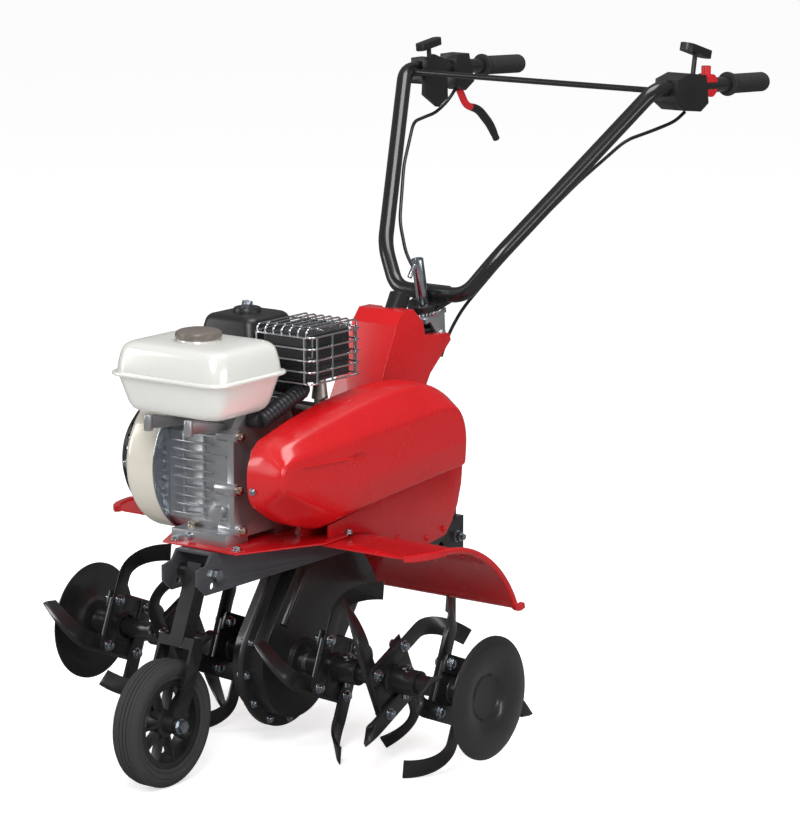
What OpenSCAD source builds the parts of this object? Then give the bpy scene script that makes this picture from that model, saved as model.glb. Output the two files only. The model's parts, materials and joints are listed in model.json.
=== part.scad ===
// Mini tiller: petrol engine on a red deck, chain case and sickle tines below,
// folding transport wheel in front and an adjustable handlebar behind.
// Millimetres. +X forward, +Y to the machine's left, +Z up, ground at z = 0.
// Every X below is counted from the tine axle; place() moves the whole machine
// so that the origin lies under the middle of its outline.

/* [Tines] */
// Half the spacing of the bolts that hold the tines to a hub plate
bolt_half = 37.5; // [33:0.5:42]
// Half the width of a square hub plate
plate_half = 48; // [44:1:54]
// Thickness of a hub plate
plate_t = 6; // [4:0.5:8]
// Width of a tine strip
tine_w = 28; // [22:1:32]
// Thickness of a tine strip
tine_t = 5; // [4:0.5:7]
// Length of the straight shank beyond the axle's level, where the sickle starts
shank_reach = 72; // [64:1:84]
// Radius of the sickle's centre line
sickle_r = 62; // [52:1:72]
// Angle that the sickle turns through
sickle_turn = 75; // [60:1:85]
// How far a tine curls sideways from its plate
tine_curl = 48; // [30:1:54]
// Distance from the middle of the machine to the inner hub plates
inner_plate_y = 100; // [94:1:106]
// Distance from the middle of the machine to the middle hub plates
middle_plate_y = 213; // [206:1:220]
// Distance from the middle of the machine to the outer hub plates
outer_plate_y = 328; // [320:1:336]
// Angle of the inner plates' bolts, from forward to up
inner_phase = 67; // [60:1:76]
// Angle by which the middle plates' bolts lag behind the inner ones
plate_stagger = 47; // [40:1:50]
// Outer diameter of a hub tube
hub_tube_d = 41; // [38:0.5:46]
// Diameter of the shafts that plug into the hub tubes
hub_shaft_d = 30; // [26:0.5:32]
// Radius of an end disc
disc_r = 95; // [80:1:100]
// Distance from the middle of the machine to the outer face of an end disc
disc_y = 398; // [392:1:405]
// Sheet thickness of an end disc
disc_t = 2.5; // [2:0.5:4]

/* [Chain case] */
// Radius of the bolted flange round the chain case
case_flange_r = 108; // [102:1:112]
// Radius of the pressed half shells inside the flange
case_shell_r = 90; // [84:1:94]
// Lean of the chain case, from upright to the rear
case_lean = 36; // [32:1:38]
// Half the width of the chain case across its shells
case_half_y = 30; // [26:1:30]
// Radius of the bearing boss on each side of the chain case
case_boss_r = 38; // [30:1:44]

/* [Deck and fenders] */
// Height of the deck's top face above the ground
deck_z = 351; // [345:1:356]
// Thickness of the deck and fender sheet
sheet_t = 3; // [2:0.5:4]
// Distance from the tine axle to the front edge of the deck
deck_front = 205; // [195:1:215]
// Width of the deck at its front edge
deck_front_w = 144; // [130:1:156]
// Half the width of the deck where the fenders start
deck_half_w = 138; // [130:1:142]
// Distance from the middle of the machine to the outer edge of a fender
fender_y = 308; // [290:1:330]
// Diameter of the rolled edge of a fender
fender_lip_d = 10; // [6:1:14]

/* [Front wheel] */
// Radius of the tyre
wheel_r = 97.5; // [90:0.5:100]
// Width of the tyre
tyre_w = 46; // [40:1:50]
// Radius of the rim under the tyre
rim_r = 66; // [60:1:70]
// Number of spokes in the rim
spokes = 10; // [8:1:12]
// Diameter of the wheel's bolt
wheel_bolt_d = 12; // [10:0.5:14]
// Distance from the tine axle forward to the wheel's bolt
wheel_x = 296; // [288:1:304]
// Distance from the tine axle forward to the arm's pivot
pivot_x = 209; // [200:1:212]
// Height of the arm's pivot above the ground
pivot_z = 313; // [308:1:316]
// Diameter of the arm's pivot bolt
pivot_d = 10; // [8:0.5:12]
// Width of the square tube of the wheel arm
arm_w = 26; // [22:1:30]
// Distance from the middle of the machine to the inner face of a fork blade
fork_half = 29; // [28:0.5:34]
// Thickness of a fork blade
fork_t = 5; // [4:0.5:6]

/* [Front channel] */
// Height of the channel's side walls
channel_h = 62; // [56:1:66]
// Thickness of the channel's walls
channel_t = 4; // [3:0.5:5]
// Distance from the tine axle to the front end of the channel
channel_front = 252; // [246:1:258]
// Radius of the open hole in the channel's lower front corner
lock_hole_r = 5.5; // [4:0.5:6.5]

/* [Engine] */
// Distance from the tine axle forward to the crankshaft
crank_x = 85; // [80:1:90]
// Height of the crankshaft above the deck
crank_up = 106; // [102:1:110]
// Radius of the fan cover
fan_r = 112; // [106:1:114]
// Distance from the middle of the machine to the inner edge of the fan cover
fan_in_y = 96; // [92:1:100]
// Depth of the fan cover
fan_depth = 62; // [56:1:66]
// Radius of the recoil starter's cage
recoil_r = 88; // [80:1:96]
// Depth of the recoil starter beyond the fan cover
recoil_depth = 30; // [24:1:36]
// Lean of the cylinder above the horizontal
cylinder_lean = 25; // [20:1:30]
// Length of the tank, front to rear
tank_l = 182; // [170:1:188]
// Width of the tank
tank_w = 222; // [210:1:226]
// Height of the tank's seam above the deck
tank_seam_up = 263; // [258:1:268]
// Height of the tank's upper half
tank_up = 50; // [46:1:54]
// Depth of the tank's lower half
tank_down = 61; // [56:1:64]
// Diameter of the fuel cap
cap_d = 70; // [60:1:76]

/* [Belt cover] */
// Distance from the middle of the machine to the cover's outer face
cover_y = 158; // [154:1:164]
// Distance from the middle of the machine to the cover's open inner rim
cover_in_y = 86; // [82:1:92]
// Wall of the belt cover
cover_t = 3; // [2:0.5:4]

/* [Handlebar] */
// Diameter of the handlebar tube
bar_d = 25; // [22:0.5:28]
// Wall of the handlebar tube
bar_wall = 1.5; // [1.5:0.5:3]
// Half the distance between the grips
grip_half = 251; // [240:1:260]
// Diameter of a grip
grip_d = 33; // [30:1:36]
// Length of a grip
grip_l = 118; // [105:1:130]
// Distance from the tine axle back to the end of the grips
grip_back = 1009; // [990:1:1030]
// Height of the grips above the ground at their ends
grip_z = 966; // [940:1:990]
// Diameter of the rod across the handlebar
crossbar_d = 10; // [8:0.5:12]
// Diameter of the steering column's tube
column_d = 34; // [30:1:38]
// Wall of the steering column's tube
column_wall = 3; // [2:0.5:5]
// Lean of the steering column, from upright to the rear
column_lean = 30; // [26:1:34]
// Diameter of the toothed swivel disc
swivel_disc_d = 58; // [52:1:64]
// Number of teeth round the swivel disc
swivel_teeth = 30; // [24:1:36]

/* [Rear hitch] */
// Distance from the tine axle back to the depth bar
hitch_back = 455; // [440:1:470]
// Width of the depth bar, front to rear
depth_bar_w = 14; // [12:1:18]
// Thickness of the depth bar
depth_bar_t = 8; // [6:1:10]
// Height of the depth bar's foot above the ground
depth_foot_z = 70; // [50:1:100]
// Radius of the drawbar hole in the hitch
hitch_hole_r = 6.5; // [5:0.5:8]

/* [Hidden] */

$fn = 48;
eps = 0.01;
// Gap between pieces that seat on one another
seat = 0.3;
// Radial running clearance of a pin in its bore
run_fit = 0.05;

// The sickle's own frame has bolts at 45 degrees and its shank along +Y.
sickle_cx = bolt_half - sickle_r;
sickle_cy = shank_reach;
sickle_out = sickle_r + tine_w / 2;
middle_phase = inner_phase - plate_stagger;
// Reach of a tine of a plate at a given phase, straight down from the axle
function tip_reach(down) = sickle_cx * cos(down) + sickle_cy * sin(down)
    + sickle_out * cos(max(0, down - sickle_turn));
function down_angle(phase) = (270 - phase + 45) % 90 < 45
    ? (270 - phase + 45) % 90 + 90 : (270 - phase + 45) % 90;
axle_z = max(tip_reach(down_angle(inner_phase)), tip_reach(down_angle(middle_phase)));

// Half of the outline's length lies each side of the origin.
front_x = wheel_x + wheel_r;
shift_x = (grip_back - front_x) / 2;
module place() translate([shift_x, 0, 0]) children();

deck_under = deck_z - sheet_t;
engine_z = deck_z + seat;
crank_z = engine_z + crank_up;
seam_z = deck_z + tank_seam_up;

// ---- shared shapes -------------------------------------------------------

// Round bar from one point to another
module bar(a, b, d) {
    v = b - a;
    l = norm(v);
    translate(a)
        rotate([0, acos(v.z / l), atan2(v.y, v.x)])
            cylinder(h = l, d = d);
}

// Cylinder along Y from y0 to y1
module along_y(x, z, y0, y1, r) {
    translate([x, y0, z]) rotate([-90, 0, 0]) cylinder(h = y1 - y0, r = r);
}

// Plate in the XZ plane between y0 and y1, from a 2D outline in X and Z
module side_plate(y0, y1) {
    translate([0, y1, 0]) rotate([90, 0, 0]) linear_extrude(y1 - y0) children();
}

// Rectangle with round corners, about its middle
module round_rect(w, h, r) {
    square([w - 2 * r, h], center = true);
    square([w, h - 2 * r], center = true);
    for (sx = [-1, 1], sy = [-1, 1])
        translate([sx * (w / 2 - r), sy * (h / 2 - r)]) circle(r);
}

// Oblong of a given radius from a to b
module oblong(a, b, r) {
    v = b - a;
    translate(a) circle(r);
    translate(b) circle(r);
    translate(a) rotate(atan2(v.y, v.x)) translate([0, -r]) square([norm(v), 2 * r]);
}

function unit(v) = v / norm(v);

// Points of a polyline whose corners are rounded by arcs of a given reach
function rounded(path, reach, steps) = [
    path[0],
    for (i = [1 : len(path) - 2])
        let (
            a = path[i] + unit(path[i - 1] - path[i]) * reach,
            b = path[i] + unit(path[i + 1] - path[i]) * reach
        )
        for (s = [0 : steps])
            let (t = s / steps)
            (1 - t) * (1 - t) * a + 2 * t * (1 - t) * path[i] + t * t * b,
    path[len(path) - 1]
];

// Tangents and carried normals along a path, so that a swept tube never twists
function tangent(path, i) = unit(path[min(i + 1, len(path) - 1)] - path[max(i - 1, 0)]);
function square_to(n, t) = unit(n - (n * t) * t);
function normals(path, i, n) = i == len(path) ? []
    : let (m = square_to(n, tangent(path, i))) concat([m], normals(path, i + 1, m));

// Round cord swept along a path
module sweep(path, d, sides, first = [0.1, 0.2, 1]) {
    count = len(path);
    n = normals(path, 0, first);
    points = [
        for (i = [0 : count - 1], k = [0 : sides - 1])
            path[i] + d / 2 * (n[i] * cos(360 * k / sides)
                + cross(tangent(path, i), n[i]) * sin(360 * k / sides))
    ];
    last = (count - 1) * sides;
    skin = [
        for (i = [0 : count - 2], k = [0 : sides - 1])
            let (a = i * sides + k, b = i * sides + (k + 1) % sides)
            each [[a, a + sides, b + sides], [a, b + sides, b]]
    ];
    ends = [[for (k = [0 : sides - 1]) k], [for (k = [sides - 1 : -1 : 0]) last + k]];
    polyhedron(points, concat(skin, ends), convexity = 6);
}

// Reach of a bend of radius r along each leg of corner i
function bend_reach(path, i, r) =
    i == 0 || i == len(path) - 1 ? 0
    : r * tan(acos(unit(path[i] - path[i - 1]) * unit(path[i + 1] - path[i])) / 2);

// Round bar or tube bent along a path: straight legs, and an arc of radius r at
// each corner that plugs into the legs; bore is the legs' inner diameter
plug = 2;
// Share of the legs' diameter that a bend keeps, so that it ends inside them
bend_share = 0.985;
// Turns a bend's section out of line with the legs' seams
off_axis = [0.1, 0.2, 0.3];
module bent_bar(path, r, d, bore = 0, sides = 12) {
    for (i = [0 : len(path) - 2])
        let (
            u = unit(path[i + 1] - path[i]),
            a = path[i] + bend_reach(path, i, r) * u,
            b = path[i + 1] - bend_reach(path, i + 1, r) * u
        )
        difference() {
            bar(a, b, d);
            if (bore > 0)
                bar(a - u, b + u, bore);
        }
    for (i = [1 : len(path) - 2])
        let (
            u = unit(path[i] - path[i - 1]),
            w = unit(path[i + 1] - path[i]),
            m = unit(w - (w * u) * u),
            a = path[i] - bend_reach(path, i, r) * u,
            turn = acos(u * w),
            steps = ceil(turn / 12),
            arc = [for (k = [0 : steps]) a + r * (m - m * cos(turn * k / steps)
                                                  + u * sin(turn * k / steps))]
        )
        sweep(concat([a - plug * u], arc, [arc[steps] + plug * w]), bend_share * d, sides,
              square_to(m + off_axis, u));
}

// ---- tines ---------------------------------------------------------------

// One sickle tine: a straight shank, then an arc that curls to one side.
// Its frame has the plate's corner bolts at 45 degrees and the plate in XY.
sickle_steps = 9;
curl_from = 8;
function curl_at(turn) = turn < curl_from ? 0
    : tine_curl * (1 - cos(90 * (turn - curl_from) / (sickle_turn - curl_from) * 0.86))
        / (1 - cos(90 * 0.86));
// Station on the centre line: [x, y, sideways, direction across the strip]
function tine_station(i) = i == 0 ? [bolt_half, -plate_half, 0, 0]
    : let (turn = sickle_turn * (i - 1) / sickle_steps)
      [sickle_cx + sickle_r * cos(turn), sickle_cy + sickle_r * sin(turn), curl_at(turn), turn];

module tine(side) {
    count = sickle_steps + 2;
    st = [for (i = [0 : count - 1]) tine_station(i)];
    path = [for (s = st) [s[0], s[1], side * s[2]]];
    half = tine_w / 2;
    // Strip section with a ground bevel along the outer edge
    section = [[-half, -tine_t / 2], [half - tine_t, -tine_t / 2], [half, tine_t * 0.2],
               [half, tine_t / 2], [-half, tine_t / 2]];
    points = [
        for (i = [0 : count - 1])
            let (
                across = [cos(st[i][3]), sin(st[i][3]), 0],
                along = i < 2 ? [0, 1, 0] : tangent(path, i),
                up = unit(cross(across, along))
            )
            for (q = section) path[i] + q.x * across + q.y * side * up
    ];
    n = len(section);
    skin = [
        for (i = [0 : count - 2], k = [0 : n - 1])
            let (a = i * n + k, b = i * n + (k + 1) % n)
            each [[a, a + n, b + n], [a, b + n, b]]
    ];
    caps = [[for (k = [0 : n - 1]) k], [for (k = [n - 1 : -1 : 0]) (count - 1) * n + k]];
    if (side < 0)
        polyhedron(points, concat(skin, caps), convexity = 4);
    else
        polyhedron(points, [for (f = concat(skin, caps)) [for (k = [len(f) - 1 : -1 : 0]) f[k]]],
                   convexity = 4);
}

// Reach of a hub tube inward over the next shaft, and outward as a socket
socket_in = 42;
socket_out = 52;
// Distance of a lock pin from its hub plate
pin_from_plate = 24;
pin_d = 10;
sleeve_fit = 0.3;
shaft_gap = 3;

// Cross bore or cross pin of a hub tube, d across, at distance y
module cross_bore(y, d) {
    translate([0, y, 0]) cylinder(h = 2 * hub_tube_d, d = d, center = true);
}

// Left-hand hub section: plate at y with four tines, an outward socket for the
// next section, and inward either a sleeve over the axle or a shaft from shaft_y.
// The first and third tines curl to curl_side, the others away from it.
module tine_section(y, phase, curl_side, shaft_y = 0, pin_y = 0) {
    sleeve_y = shaft_y == 0 ? y - socket_in : y;
    difference() {
        union() {
            side_plate(y - plate_t / 2, y + plate_t / 2)
                rotate(phase - 45) square(2 * plate_half, center = true);
            along_y(0, 0, sleeve_y, y + socket_out, hub_tube_d / 2);
        }
        along_y(0, 0, shaft_y == 0 ? sleeve_y - 1 : y + plate_t, y + socket_out + 1,
                hub_shaft_d / 2 + sleeve_fit);
        cross_bore(y + pin_from_plate, pin_d + 2 * sleeve_fit);
        if (shaft_y == 0)
            cross_bore(y - pin_from_plate, pin_d + 2 * sleeve_fit);
    }
    for (k = [0 : 3])
        let (side = (k % 2 == 0 ? 1 : -1) * curl_side)
        translate([0, y + side * (plate_t + tine_t) / 2, 0])
            rotate([90, 0, 0]) rotate(phase - 45 + 90 * k) tine(-side);
    if (shaft_y > 0)
        difference() {
            along_y(0, 0, shaft_y, y + eps, hub_shaft_d / 2);
            cross_bore(pin_y, pin_d + 2 * sleeve_fit);
        }
}

// The shafts start just past the piece inside, so their cross bores meet the pins.
axle_end_y = inner_plate_y + plate_t / 2;
middle_shaft_y = axle_end_y + shaft_gap;
outer_shaft_y = middle_plate_y + plate_t + shaft_gap;
disc_shaft_y = outer_plate_y + plate_t + shaft_gap;

function pin_outward(plate_y) = plate_y + pin_from_plate;

module at_axle() place() translate([0, 0, axle_z]) children();
module on_right() mirror([0, 1, 0]) children();

module inner_section() tine_section(inner_plate_y, inner_phase, 1);
module middle_section() tine_section(middle_plate_y, middle_phase, -1,
    middle_shaft_y, pin_outward(inner_plate_y));
module outer_section() tine_section(outer_plate_y, inner_phase, -1,
    outer_shaft_y, pin_outward(middle_plate_y));

module tines_left_inner() color("#1c1c1e") at_axle() inner_section();
module tines_left_middle() color("#1c1c1e") at_axle() middle_section();
module tines_left_outer() color("#1c1c1e") at_axle() outer_section();
module tines_right_inner() color("#1c1c1e") at_axle() on_right() inner_section();
module tines_right_middle() color("#1c1c1e") at_axle() on_right() middle_section();
module tines_right_outer() color("#1c1c1e") at_axle() on_right() outer_section();

module rotor_shaft() color("#5a5a5c") at_axle()
    difference() {
        along_y(0, 0, -axle_end_y, axle_end_y, hub_shaft_d / 2);
        for (s = [-1, 1])
            cross_bore(s * (inner_plate_y - pin_from_plate), pin_d + 2 * sleeve_fit);
    }

// Dished disc on its own short shaft, turned about the axle
dish_depth = 11;
dish_r = 40;
module end_disc() {
    translate([0, disc_y - dish_depth, 0])
        rotate([-90, 0, 0])
            rotate_extrude($fn = 72)
                polygon([
                    [0, 0], [dish_r - 8, 0], [dish_r, 0.7 * dish_depth],
                    [disc_r * 0.72, dish_depth], [disc_r, 0.6 * dish_depth],
                    [disc_r, 0.6 * dish_depth - disc_t],
                    [disc_r * 0.72, dish_depth - disc_t],
                    [dish_r + 2, 0.7 * dish_depth - disc_t], [dish_r - 6, -disc_t], [0, -disc_t]
                ]);
    difference() {
        along_y(0, 0, disc_shaft_y, disc_y - dish_depth - disc_t + eps, hub_shaft_d / 2);
        cross_bore(pin_outward(outer_plate_y), pin_d + 2 * sleeve_fit);
    }
}
module end_discs() color("#242426") at_axle() {
    end_disc();
    on_right() end_disc();
}

// Lock pin with its ring head and the wire clip that closes over the tube
clip_wire_d = 2.5;
module lock_pin(y) {
    head_z = hub_tube_d / 2 + seat;
    translate([0, y, -head_z - 6]) cylinder(h = 2 * head_z + 6 + 3, d = pin_d);
    translate([0, y, head_z]) cylinder(h = 3, d = pin_d + 6);
    clip_r = hub_tube_d / 2 + 2 * clip_wire_d;
    translate([0, y, 0]) rotate([90, 0, 0])
        rotate_extrude(angle = 180, start = 92, $fn = 32)
            translate([clip_r, 0]) circle(d = clip_wire_d, $fn = 16);
}
module lock_pins() color("#c9c3a8") at_axle()
    for (s = [0, 1]) mirror([0, s, 0]) {
        lock_pin(inner_plate_y - pin_from_plate);
        for (y = [inner_plate_y, middle_plate_y, outer_plate_y]) lock_pin(pin_outward(y));
    }

// ---- chain case, deck and fenders ----------------------------------------

case_top_z = deck_under - channel_t - 2 * seat;
case_run = (case_top_z - axle_z) / cos(case_lean);
case_end = [-case_run * sin(case_lean), case_top_z];
flange_half = 5;
axle_hole_r = hub_shaft_d / 2 + sleeve_fit;

// Outline of the chain case at a given radius, cut level under the deck
module case_outline(r) intersection() {
    oblong([0, axle_z], case_end, r);
    translate([-600, -200]) square([1200, case_top_z + 200]);
}

module gear_case() color("#202022") place()
    difference() {
        union() {
            side_plate(-flange_half, flange_half) case_outline(case_flange_r);
            side_plate(-case_half_y, case_half_y) case_outline(case_shell_r);
            // Pressed dome and bearing boss on each side
            for (s = [0, 1]) mirror([0, s, 0]) translate([0, 0, axle_z])
                rotate([-90, 0, 0]) rotate_extrude()
                    polygon([[0, 0], [case_shell_r - 12, 0], [case_shell_r - 12, case_half_y],
                             [case_boss_r + 12, case_half_y + 6], [case_boss_r, case_half_y + 8],
                             [case_boss_r, case_half_y + 17], [0, case_half_y + 17]]);
            // Stiffening rib up the front of each side
            for (s = [0, 1]) mirror([0, s, 0]) translate([0, 0, axle_z])
                rotate([0, -case_lean, 0])
                    translate([case_shell_r - 22, case_half_y - 2, 30])
                        cylinder(h = 98, r = 8);
        }
        along_y(0, axle_z, -100, 100, axle_hole_r);
        // The drain flat keeps the case clear of the ground
        translate([-300, -100, -100]) cube([600, 200, 100]);
    }

// Plan of the deck: a narrow front that flares back to the fenders
deck_back = 196;
flare_x = 68;
deck_waist_w = 117;
// Half of the deck's plan, from its front to its back
deck_side = [[deck_front, deck_front_w / 2], [flare_x, deck_half_w], [8, deck_half_w - 4],
             [-14, deck_waist_w], [-deck_back, deck_waist_w]];
module deck_plan()
    polygon(concat(deck_side, [for (i = [4 : -1 : 0]) [deck_side[i].x, -deck_side[i].y]]));
column_base_x = -122;
module deck_plate() color("#c8141a") place()
    difference() {
        translate([0, 0, deck_under]) linear_extrude(sheet_t) deck_plan();
        // Clearance round the foot of the steering column
        translate([column_base_x, 0, deck_under - 1])
            linear_extrude(sheet_t + 2)
                oblong([-14, 0], [14, 0], column_d / 2 + 3);
    }

// Fender: flat under the deck, then rolled down about the axle behind the
// tines to a turned-out rear edge, with a bead round its outer edge.
roof_up = deck_under - seat - axle_z;
fender_end = 154;
fender_in_y = 42;
fender_corner = [[flare_x, fender_y - 44], [flare_x - 3, fender_y - 27],
                 [flare_x - 12, fender_y - 16], [40, fender_y - 8], [20, fender_y - 2.5], [-2, fender_y]];
tail_from = (roof_up - sheet_t / 2) * [cos(fender_end), sin(fender_end)];
tail_line = [tail_from, tail_from + [-2, -4], tail_from + [-6, -7], tail_from + [-12, -7.5],
             tail_from + [-22, -5]];

// Band t wide along a line
function beside(path, i, s) =
    let (t = tangent(path, i)) path[i] + s * [t.y, -t.x];
module band(path, t)
    polygon(concat([for (i = [0 : len(path) - 1]) beside(path, i, t / 2)],
                   [for (i = [len(path) - 1 : -1 : 0]) beside(path, i, -t / 2)]));
// Sector of a ring about the axle line, from straight up round to the back
module about_axle() {
    rotate([90, 0, 0]) rotate_extrude(angle = fender_end - 90, start = 90, $fn = 96) children();
}
module fender() translate([0, 0, axle_z]) {
    translate([0, 0, roof_up - sheet_t]) linear_extrude(sheet_t)
        polygon(concat([[-2, fender_in_y], [flare_x, fender_in_y]], fender_corner));
    translate([0, fender_y, 0]) about_axle()
        translate([roof_up - sheet_t, 0]) square([sheet_t, fender_y - fender_in_y]);
    side_plate(fender_in_y, fender_y) band(tail_line, sheet_t);
    // Bead round the front corner and down the rolled outer edge
    bead_up = roof_up - sheet_t / 2;
    translate([0, 0, bead_up - fender_lip_d / 2 + 0.5]) linear_extrude(fender_lip_d - 1)
        band([for (i = [1 : 5]) fender_corner[i]], fender_lip_d);
    translate([0, fender_y, 0]) about_axle()
        translate([bead_up, 0]) circle(d = fender_lip_d, $fn = 24);
    side_plate(fender_y - fender_lip_d / 2 + 0.6, fender_y + fender_lip_d / 2 - 0.6)
        band(tail_line, fender_lip_d - 1);
}
module fender_left() color("#c8141a") place() fender();
module fender_right() color("#c8141a") place() on_right() fender();

// ---- front channel, wheel arm and wheel ----------------------------------

channel_in = case_half_y + 1;
channel_out = channel_in + channel_t;
channel_back = -150;
channel_z = deck_under - seat - channel_h;
lock_x = pivot_x + 7;
lock_z = channel_z + 12;
module front_channel() color("#46464c") place()
    difference() {
        union() {
            for (s = [0, 1]) mirror([0, s, 0])
                side_plate(channel_in, channel_out)
                    polygon([
                        [channel_back, channel_z + 14], [channel_back, channel_z + channel_h],
                        [channel_front - 34, channel_z + channel_h],
                        [channel_front - 22, channel_z + channel_h - 16],
                        [channel_front, channel_z + channel_h - 20],
                        [channel_front, channel_z + 18], [channel_front - 20, channel_z],
                        [channel_back + 30, channel_z]
                    ]);
            translate([channel_back, -channel_out, channel_z + channel_h - channel_t])
                cube([channel_front - 34 - channel_back, 2 * channel_out, channel_t]);
        }
        along_y(pivot_x, pivot_z, -60, 60, pivot_d / 2 + run_fit);
        along_y(lock_x, lock_z, -60, 60, lock_hole_r);
        // The steering column stands in a slot of the channel's top
        translate([column_base_x, 0, deck_under - 12])
            linear_extrude(20) oblong([-16, 0], [16, 0], column_d / 2 + 4);
    }

hub = [wheel_x, wheel_r];
arm_dir = unit([wheel_x - pivot_x, wheel_r - pivot_z]);
arm_len = norm([wheel_x - pivot_x, wheel_r - pivot_z]);
crown_at = arm_len - wheel_r - 24;
function on_arm(t) = [pivot_x + arm_dir.x * t, pivot_z + arm_dir.y * t];
fork_w = 26;
module wheel_arm() color("#1d1d1f") place()
    difference() {
        union() {
            // Square tube from the pivot down to the fork's crown
            side_plate(-arm_w / 2, arm_w / 2)
                polygon([
                    for (e = [[-13, -12], [crown_at, -14], [crown_at, 14], [-13, 12]])
                        on_arm(e[0]) + e[1] * [-arm_dir.y, arm_dir.x]
                ]);
            along_y(pivot_x, pivot_z, -channel_in + seat, channel_in - seat, 11);
            // Crown and the two blades that carry the wheel
            side_plate(-fork_half - fork_t, fork_half + fork_t)
                polygon([
                    for (e = [[crown_at - 10, -fork_w / 2], [crown_at + 6, -fork_w / 2],
                              [crown_at + 6, fork_w / 2], [crown_at - 10, fork_w / 2]])
                        on_arm(e[0]) + e[1] * [-arm_dir.y, arm_dir.x]
                ]);
            for (s = [0, 1]) mirror([0, s, 0])
                side_plate(fork_half, fork_half + fork_t) {
                    oblong(on_arm(crown_at), hub, fork_w / 2);
                }
        }
        along_y(pivot_x, pivot_z, -60, 60, pivot_d / 2 + run_fit);
        along_y(hub.x, hub.y, -60, 60, wheel_bolt_d / 2 + eps);
        // The channel's lock pin passes below the pivot
        along_y(lock_x, lock_z, -60, 60, lock_hole_r);
    }

module hex_head(x, z, y, d, h) translate([x, y, z])
    rotate([-90, 0, 0]) cylinder(h = h, d = d, $fn = 6);

module arm_bolts() color("#b9bec6") place() {
    along_y(pivot_x, pivot_z, -channel_out - 8, channel_out + 8, pivot_d / 2);
    for (s = [0, 1]) mirror([0, s, 0]) hex_head(pivot_x, pivot_z, channel_out + seat, 19, 8);
}
module wheel_bolt() color("#b9bec6") place() {
    y = fork_half + fork_t;
    along_y(hub.x, hub.y, -y - 9, y + 9, wheel_bolt_d / 2);
    for (s = [0, 1]) mirror([0, s, 0]) {
        along_y(hub.x, hub.y, y + seat, y + 2, 12);
        hex_head(hub.x, hub.y, y + 2, 20, 8);
    }
}

rim_w = tyre_w - 10;
module wheel_rim() color("#26262a") place() translate([hub.x, 0, hub.y]) {
    side = rim_w / 2;
    hub_half = fork_half - 1;
    rotate([-90, 0, 0]) difference() {
        union() {
            rotate_extrude($fn = 72)
                polygon([[rim_r - 7, -side], [rim_r + 5, -side], [rim_r, -side + 5],
                         [rim_r, side - 5], [rim_r + 5, side], [rim_r - 7, side],
                         [rim_r - 9, 0]]);
            cylinder(h = 2 * hub_half, r = 13, center = true);
            cylinder(h = 20, r = 21, center = true);
            for (k = [0 : spokes - 1])
                rotate(360 * k / spokes)
                    translate([16, -2.5, -8]) cube([rim_r - 24, 5, 16]);
        }
        cylinder(h = 80, d = wheel_bolt_d + 2 * run_fit, center = true);
    }
}

tyre_round = 15;
module tyre() color("#1a1a1a") place() translate([hub.x, 0, hub.y])
    rotate([-90, 0, 0])
        rotate_extrude($fn = 60)
            difference() {
                // Round shoulders and a nearly flat tread
                union() {
                    translate([rim_r + seat, -tyre_w / 2 + 6])
                        square([wheel_r - rim_r - tyre_round, tyre_w - 12]);
                    for (s = [-1, 1])
                        translate([wheel_r - tyre_round - 1.5, s * (tyre_w / 2 - tyre_round)])
                            circle(tyre_round, $fn = 32);
                    translate([rim_r + 6, -(tyre_w / 2 - tyre_round)])
                        square([wheel_r - rim_r - 6, tyre_w - 2 * tyre_round]);
                }
                translate([rim_r + seat - 20, -80]) square([20, 160]);
                for (s = [-1, 1])
                    translate([rim_r + seat - 1, s * rim_w / 2 - (s > 0 ? 5.5 : 10)])
                        square([7, 15.5]);
            }

// ---- engine --------------------------------------------------------------

case_in_y = fan_in_y - 6;
case_out_y = 28;
side_cover_y = 40;
engine_back = crank_x - 70;
engine_front = crank_x + 78;
function up(h) = engine_z + h;

// Crankcase outline seen from the side, h above the engine's foot
module crankcase_outline() polygon([
    [engine_back, up(22)], [engine_back + 10, up(14)], [engine_front - 14, up(14)],
    [engine_front, up(30)], [engine_front, up(164)], [engine_front - 22, up(192)],
    [crank_x - 20, up(196)], [engine_back - 4, up(160)]
]);
module crankcase() color("#a9abb0") place() {
    side_plate(-case_in_y, case_out_y) crankcase_outline();
    // Foot with its two bolting rails
    for (x = [engine_back - 6, engine_front - 32])
        translate([x, -case_in_y + 20, engine_z]) cube([54, case_in_y + side_cover_y - 24, 17]);
    // Side cover with its bolt bosses
    side_plate(case_out_y - eps, side_cover_y) side_cover_outline();
    for (b = [[engine_front - 3, 168], [engine_front + 2, 86], [engine_front - 6, 22],
              [engine_back + 2, 160], [engine_back - 2, 86], [engine_back + 8, 20]])
        along_y(b.x, up(b.y), 6, side_cover_y + 4, 10);
    // Casting ribs on the front and the grey plug low on it
    for (h = [52, 92, 132])
        translate([engine_front - eps, -case_in_y + 12, up(h)])
            cube([3, case_in_y + 10, 4]);
    for (y = [-62, -24])
        translate([engine_front - eps, y, up(34)]) cube([3, 4, 128]);
    translate([engine_front - 1, 8, up(46)])
        rotate([0, 90, 0]) cylinder(h = 14, r = 13);
    // Crankshaft towards the belt, boss toward the fan
    along_y(crank_x, crank_z, side_cover_y - 1, cover_in_y + 30, 10);
    along_y(crank_x, crank_z, side_cover_y - 1, side_cover_y + 10, 30);
}
module side_cover_outline() polygon([
    [engine_back - 8, up(18)], [engine_back + 6, up(10)], [engine_front - 10, up(10)],
    [engine_front + 6, up(28)], [engine_front + 6, up(168)], [engine_front - 20, up(198)],
    [crank_x - 22, up(202)], [engine_back - 10, up(166)]
]);

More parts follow.
